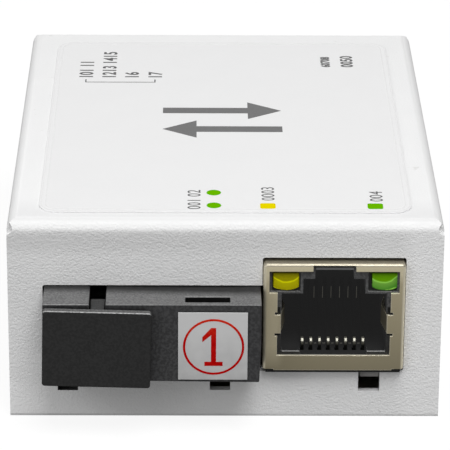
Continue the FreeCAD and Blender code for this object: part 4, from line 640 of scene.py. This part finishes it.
def set_cap(x, y, z):
    """The cap's flange thinner, taller and hung slightly askew, and its grip tab wider."""
    low, high = DUST_CAP
    middle = (low + high) / 2
    behind_flange = y > low.y + 1.3
    if behind_flange and abs(x - GRIP_MIDDLE) < 1.3 and z > high.z - 1.8:
        return GRIP_MIDDLE + (x - GRIP_MIDDLE) * 1.15, y, z
    if behind_flange:
        return x, y, z
    tilt, taller, wider, thickness = 0.0157, 1.023, 1.01, 0.93
    z = high.z - (high.z - z) * taller
    x = high.x - (high.x - x) * wider
    x, z = x + (z - middle.z) * tilt, z - (x - middle.x) * tilt
    return x, (y if y < low.y + NEARBY else low.y + thickness), z


def set_housing(x, y, z):
    """The module's right side, top edge and bottom edge eased, and its slot farther back and deeper."""
    low, high = MODULE
    wider, sag, sag_from = 0.14, 0.25, -9
    if x > high.x - 0.3 and y < low.y + 5:
        x += wider
    on_face = y < low.y + NEARBY
    if on_face and z < low.z + NEARBY and x > sag_from:
        return x, y, z - sag * (x - sag_from) / (high.x - sag_from)
    if on_face and z > high.z - NEARBY:
        return x, y + 0.22, z + 0.09
    in_slot = low.y + 0.6 < y < low.y + 2.1 and z > high.z - 1.1
    if in_slot and SLOT_LEFT - 0.05 < x < SLOT_RIGHT + 0.05:
        left_side, front_side, floor = x < -2, y < low.y + 1, z < high.z - 0.5
        x -= 0.17 if left_side else 0.42
        y += 0.5 if front_side else 0.6
        z -= 1.9 if floor else 0
    return x, y, z


def set_cover(x, y, z):
    """The three board notches under the cut-outs a little deeper, and the right one a little wider."""
    on_panel = y < FRONT + 1.5
    if not (on_panel and NOTCH_FLOOR - 0.1 < z < CIRCUIT.high.z and -20 < x < 19):
        return x, y, z
    right_notch, middle_notch = x > 10, x > -5
    right_notch_edge, wider = 15.83, 0.13
    if abs(x - right_notch_edge) < NEARBY:
        x -= wider
    if z < NOTCH_FLOOR + 0.1:
        z -= 0.41 if right_notch else 0.23 if middle_notch else 0.29
    return x, y, z


def moved(right, up):
    """An edit that moves a whole piece a little."""
    return lambda x, y, z: (x + right, y, z + up)


EDITS = {"case_cover": set_cover, "dust_cap": set_cap, "sc_housing": set_housing,
         "port_sticker": moved(-0.14, 0), "rj45_contacts": moved(0, -0.13), "rj45_led_green": moved(0.28, 0)}


def add_block(shape, low, high):
    """Add a block between two corners, measured from the jack's lower front left corner."""
    low, high = Vector(low) + JACK.low, Vector(high) + JACK.low
    size = (high - low) * MM
    bmesh.ops.create_cube(shape, size=1, matrix=Matrix.Translation((low + high) / 2 * MM)
                          @ Matrix.Diagonal((*size, 1)))


def finished_mesh(name, shape):
    """A mesh from what was built, which is then freed."""
    mesh = bpy.data.meshes.new(name)
    shape.to_mesh(mesh)
    shape.free()
    return mesh


def build_jack_details():
    """The ledge under the latch slot, the floor, its lips and the comb, of the jack's own plastic, with
    light and glowing bars as painted highlights on the lips and the comb.
    """
    # painted highlights: the lips are light bars along the floor's front edge
    lip = plain("lip_highlight", grey(0.34), 0.6, 9, 0.01)
    ledge = plain("rough_ledge", grey(0.14), 0.6, 9, 0.02)
    for name, material, low, high in (
            ("latch_ledge", ledge, (5.68, -0.12, 13.17), (10.08, 0.3, 13.41)),
            ("comb_floor", INSERT, (3.98, 2.2, FLOOR_RISE - 0.53), (11.76, 13.5, FLOOR_RISE - 0.48)),
            ("floor_lip_left", lip, (1.88, -0.04, FLOOR_RISE), (3.93, 0.2, FLOOR_RISE + 0.11)),
            ("floor_lip_right", lip, (11.81, -0.04, FLOOR_RISE), (13.93, 0.2, FLOOR_RISE + 0.11))):
        shape = bmesh.new()
        add_block(shape, low, high)
        add_piece(name, finished_mesh(name, shape), material)
    # painted highlight: a dim glowing tone for the thin bars below
    rib = plain("rib_edge", (0.10, 0.098, 0.085), 0.5, 9, 0.005, Emission_Strength=0.05)
    rib.node_tree.nodes["Principled BSDF"].inputs["Emission Color"].default_value = (1, 0.95, 0.8, 1)
    shape = bmesh.new()
    # Painted highlights as thin glowing bars: the comb's six ribs high up at the back, and seven glints
    # between the contacts.
    # Each row holds their count and pitch, the middle of the first one and its size.
    for count, pitch, (x, y, z), (wide, deep, tall) in (
            (6, 1.0, (5.73, 5.0, FLOOR_RISE + 5.38), (0.05, 0.05, 1.45)),
            (7, 1.016, (4.827, 1.9, FLOOR_RISE + 0.2), (0.3, 0.05, 0.05))):
        for i in range(count):
            left = x + i * pitch - wide / 2
            add_block(shape, (left, y - deep / 2, z - tall / 2), (left + wide, y + deep / 2, z + tall / 2))
    add_piece("comb_edges", finished_mesh("comb_edges", shape), rib)


def build_looks():
    for node, width in EDGE_WIDTHS.items():
        softened(node, width, edit=EDITS.get(node))
    build_jack_details()
    softened("top_overlay", 0.05, lowered=2 * PRINT_RISE)
    for node, material in NODE_FINISH.items():
        frame["nodes"][node].material_slots[0].material = material


# ---------------------------------------------------------------------------------------------- print

PRINT_RISE = 0.008  # half the thickness of the ink
CAPITAL = 0.729  # height of a capital in the built-in font, as a share of its size
NARROW = 0.92  # width of the printed characters, as a share of the font's
ALONG_DEPTH = Matrix.Rotation(math.pi / 2, 4, "Z")  # print that reads from the front edge to the rear
AS_DRAWN = Matrix.Identity(4)
UPRIGHT = Matrix.Rotation(math.pi / 2, 4, "X")  # print on a face that looks to the front


def joined_mesh(name, items):
    """One mesh from several text or curve objects, which are then deleted."""
    shape = bmesh.new()
    bpy.context.view_layer.update()
    depsgraph = bpy.context.evaluated_depsgraph_get()
    for item in items:
        part = bpy.data.meshes.new_from_object(item.evaluated_get(depsgraph))
        part.transform(item.matrix_world)
        shape.from_mesh(part)
        bpy.data.meshes.remove(part)
        bpy.data.objects.remove(item)
    bmesh.ops.remove_doubles(shape, verts=shape.verts, dist=1e-7)
    return finished_mesh(name, shape)


def add_print(name, items, material):
    add_piece(name, joined_mesh(name, items), material)


def flat_item(curve, frame_of_print):
    """Give a curve its thickness and set it in the plane it is printed on."""
    curve.extrude = PRINT_RISE * MM
    item = bpy.data.objects.new("print", curve)
    item.matrix_world = frame_of_print
    bpy.context.scene.collection.objects.link(item)
    return item


def text_item(words, height, place, turn, weight):
    """Printed characters of a given height in millimetres, from their lower left corner."""
    curve = bpy.data.curves.new("print", "FONT")
    curve.body = words
    curve.align_x, curve.align_y = "LEFT", "BOTTOM_BASELINE"
    curve.size = height / CAPITAL * MM
    curve.space_character = 1.06
    curve.offset = weight * MM
    curve.resolution_u = 4
    return flat_item(curve, Matrix.Translation(place * MM) @ turn @ Matrix.Diagonal((NARROW, 1, 1, 1)))


def outline_item(loops, place, turn):
    """A flat printed shape inside closed loops; a second loop inside the first is a hole."""
    curve = bpy.data.curves.new("print", "CURVE")
    curve.dimensions = "2D"
    curve.fill_mode = "BOTH"
    for points in loops:
        spline = curve.splines.new("POLY")
        spline.points.add(len(points) - 1)
        for point, (x, y) in zip(spline.points, points):
            point.co = (x * MM, y * MM, 0, 1)
        spline.use_cyclic_u = True
    return flat_item(curve, Matrix.Translation(place * MM) @ turn)


def ring_points(radius, count=48):
    turns = (math.tau * i / count for i in range(count))
    return [(radius * math.cos(turn), radius * math.sin(turn)) for turn in turns]


def round_rectangle(width, height, radius, steps=5):
    """Points round a rectangle with round corners, centred on the origin."""
    points = []
    for quarter, (x, y) in enumerate(((1, 1), (-1, 1), (-1, -1), (1, -1))):
        for i in range(steps + 1):
            angle = math.pi / 2 * (quarter + i / steps)
            points.append((x * (width / 2 - radius) + radius * math.cos(angle),
                           y * (height / 2 - radius) + radius * math.sin(angle)))
    return points


def on_film(x, y):
    """A point of the film's top: X from the middle, Y back from the panel."""
    return Vector((x, FRONT + y, FILM_TOP - PRINT_RISE))


def build_film_print():
    """Plain numbers, a bracket and light marks, all generic, printed on the film."""
    # The words, their height, the place of their first corner and how much bolder than the font they are.
    legend = [
        ("02", 1.6, (-2.9, 6.75), 0.0), ("001", 1.6, (-2.9, 2.95), 0.0), ("0003", 1.6, (5.75, 5.6), 0.0),
        ("004", 1.6, (18.4, 5.4), 0.0), ("101 11", 1.75, (-16.75, 46.6), 0.06),
        ("1213 1415", 1.75, (-13.8, 46.6), 0.06), ("16", 1.75, (-10.85, 46.6), 0.06),
        ("17", 1.75, (-7.85, 46.6), 0.06), ("0050", 1.6, (17.0, 51.0), 0.06),
        ("60708", 1.15, (14.0, 51.0), 0.07),
    ]
    items = [text_item(words, height, on_film(*place), ALONG_DEPTH, weight)
             for words, height, place, weight in legend]
    left, right, line, tip, thin = -17.56, -8.69, 45.13, 46.1, 0.08
    bracket = [(left - thin, line - thin), (right + thin, line - thin), (right + thin, tip),
               (right - thin, tip), (right - thin, line + thin), (left + thin, line + thin),
               (left + thin, tip), (left - thin, tip)]
    items.append(outline_item([bracket], on_film(0, 0), AS_DRAWN))
    add_print("film_legend", items, ink("legend_ink", grey(0.13)))
    dot, square = ring_points(0.85), round_rectangle(1.8, 1.65, 0.3)
    marks = [outline_item([points], on_film(*place), AS_DRAWN)
             for points, place in ((dot, (-1.34, 4.12)), (dot, (-1.34, 8.0)), (square, (17.42, 3.98)))]
    add_print("film_green_marks", marks, ink("green_ink", (0.115, 0.385, 0.0), 0.03))
    mark = outline_item([square], on_film(4.93, 3.98), AS_DRAWN)
    add_print("film_yellow_mark", [mark], ink("yellow_ink", (0.68, 0.56, 0.0), 0.03))


def build_film_rim():
    """The film's pressed border, drawn as two faint lines of painted shadow that follow its edge."""
    low, high = FILM_SHEET
    corner_radius, thick = 2.4, 0.16
    centre = Vector(((low.x + high.x) / 2, (low.y + high.y) / 2, FILM_TOP - PRINT_RISE))
    rims = []
    for inset in (0.10, 0.62):
        loops = [round_rectangle(high.x - low.x - 2 * cut, high.y - low.y - 2 * cut, corner_radius - cut, 8)
                 for cut in (inset, inset + thick)]
        rims.append(outline_item(loops, centre, AS_DRAWN))
    add_print("film_rim", rims, ink("rim_shadow", grey(0.70), 0.06))


def build_arrows():
    """Two plain arrows that point opposite ways, in the middle of the film."""
    reach, head, stroke = 7.4, 2.9, 0.95  # half the length, and half the widths of the head and the shaft
    neck = reach - 4.2
    apart = 3.2  # from the middle of the pair to each arrow
    arrow = [(-reach, -stroke), (neck, -stroke), (neck, -head), (reach, 0), (neck, head), (neck, stroke),
             (-reach, stroke)]
    items = []
    for sign in (1, -1):
        points = [(x * sign, (y + apart) * sign) for x, y in arrow]
        items.append(outline_item([points], on_film(-0.15, 31.8), AS_DRAWN))
    add_print("film_arrows", items, ink("grey_ink", grey(0.162)))


def build_sticker_print():
    """A red ring with a plain figure 1 in it."""
    low, high = STICKER
    centre = Vector(((low.x + high.x) / 2 - 0.06, low.y - PRINT_RISE / 2, (low.z + high.z) / 2 - 0.07))
    ring = outline_item([ring_points(3.53, 72), ring_points(3.26, 72)], centre, UPRIGHT)
    tall, foot, wide, thick, flag = 2.4, 1.05, 0.29, 0.52, -1.3
    figure = [(-foot, -tall), (foot, -tall), (foot, -tall + thick), (wide, -tall + thick),
              (wide, tall), (-wide, tall), (flag, tall - 1.15), (flag, tall - 1.8),
              (-wide, tall - 0.9), (-wide, -tall + thick), (-foot, -tall + thick)]
    items = [ring, outline_item([figure], centre, UPRIGHT)]
    add_print("sticker_figure", items, red_ink())


# ------------------------------------------------------------------------------ stage, light and camera


def build_stage():
    """A large white floor that lights nothing and isn't mirrored in the object."""
    reach = 3.0  # in metres
    mesh = bpy.data.meshes.new("floor")
    corners = [(-reach, -reach, 0), (reach, -reach, 0), (reach, reach, 0), (-reach, reach, 0)]
    mesh.from_pydata(corners, [], [(0, 1, 2, 3)])
    floor = bpy.data.objects.new("floor", mesh)
    bpy.context.scene.collection.objects.link(floor)
    paper = Surface("paper_floor", grey(0.12), 0.9, Specular_IOR_Level=0.0, Emission_Strength=0.88)
    paper.shader.inputs["Emission Color"].default_value = (1, 1, 1, 1)
    paper.colour(paper.blend(paper.noise(0.02, 2), grey(0.12), grey(0.13)))
    mesh.materials.append(paper.material)
    floor.visible_diffuse = False
    floor.visible_glossy = False


def soft_light(name, place, size, power, mirrored=True):
    """A rectangular lamp aimed at the object; places and sizes are in metres."""
    target = Vector((0, 0, 0.01))
    light = bpy.data.lights.new(name, "AREA")
    light.shape = "RECTANGLE"
    light.size, light.size_y = size
    light.energy = power
    item = bpy.data.objects.new(name, light)
    item.location = place
    bpy.context.scene.collection.objects.link(item)
    item.rotation_mode = "QUATERNION"
    item.rotation_quaternion = (target - item.location).to_track_quat("-Z", "Y")
    item.visible_glossy = mirrored


def build_light():
    """One large lamp above and in front, weak ones round about, and a room that looks white but is dim."""
    soft_light("key", (0.15, -0.38, 0.86), (0.5, 0.45), 7.2)
    soft_light("fill", (-0.62, -0.55, 0.35), (0.5, 0.5), 1.8)
    soft_light("side", (-0.65, 0.05, 0.50), (0.6, 0.5), 0.9)
    soft_light("far_side", (0.65, 0.05, 0.50), (0.6, 0.5), 0.3)
    soft_light("back", (0.0, 0.9, 0.45), (0.6, 0.5), 0.35, mirrored=False)
    world = bpy.data.worlds.new("studio")
    bpy.context.scene.world = world
    world.use_nodes = True
    tree = world.node_tree
    ambient = tree.nodes["Background"]
    ambient.inputs["Color"].default_value = (1, 1, 1, 1)
    ambient.inputs["Strength"].default_value = 0.282
    seen = tree.nodes.new("ShaderNodeBackground")
    seen.inputs["Color"].default_value = (1, 1, 1, 1)
    seen.inputs["Strength"].default_value = 1.0
    path = tree.nodes.new("ShaderNodeLightPath")
    mix = tree.nodes.new("ShaderNodeMixShader")
    tree.links.new(path.outputs["Is Camera Ray"], mix.inputs[0])
    tree.links.new(ambient.outputs[0], mix.inputs[1])
    tree.links.new(seen.outputs[0], mix.inputs[2])
    tree.links.new(mix.outputs[0], tree.nodes["World Output"].inputs["Surface"])
    bpy.context.scene.view_settings.view_transform = "Standard"


def build_camera():
    """A long lens above and in front, turned a little to the right and rolled a little."""
    place = Vector((-3.9, -359.4, 163.2))
    yaw, pitch, roll = (math.radians(angle) for angle in (0.669, 22.995, 0.421))
    lens = bpy.data.cameras.new("camera")
    lens.lens = 247.0
    lens.sensor_width = 36.0
    lens.clip_start, lens.clip_end = 0.01, 20
    camera = bpy.data.objects.new("camera", lens)
    camera.matrix_world = (Matrix.Translation(place * MM) @ Matrix.Rotation(-yaw, 4, "Z")
                           @ Matrix.Rotation(math.pi / 2 - pitch, 4, "X") @ Matrix.Rotation(roll, 4, "Z"))
    bpy.context.scene.collection.objects.link(camera)
    bpy.context.scene.camera = camera


build_looks()
build_film_print()
build_film_rim()
build_arrows()
build_sticker_print()
build_stage()
build_light()
build_camera()
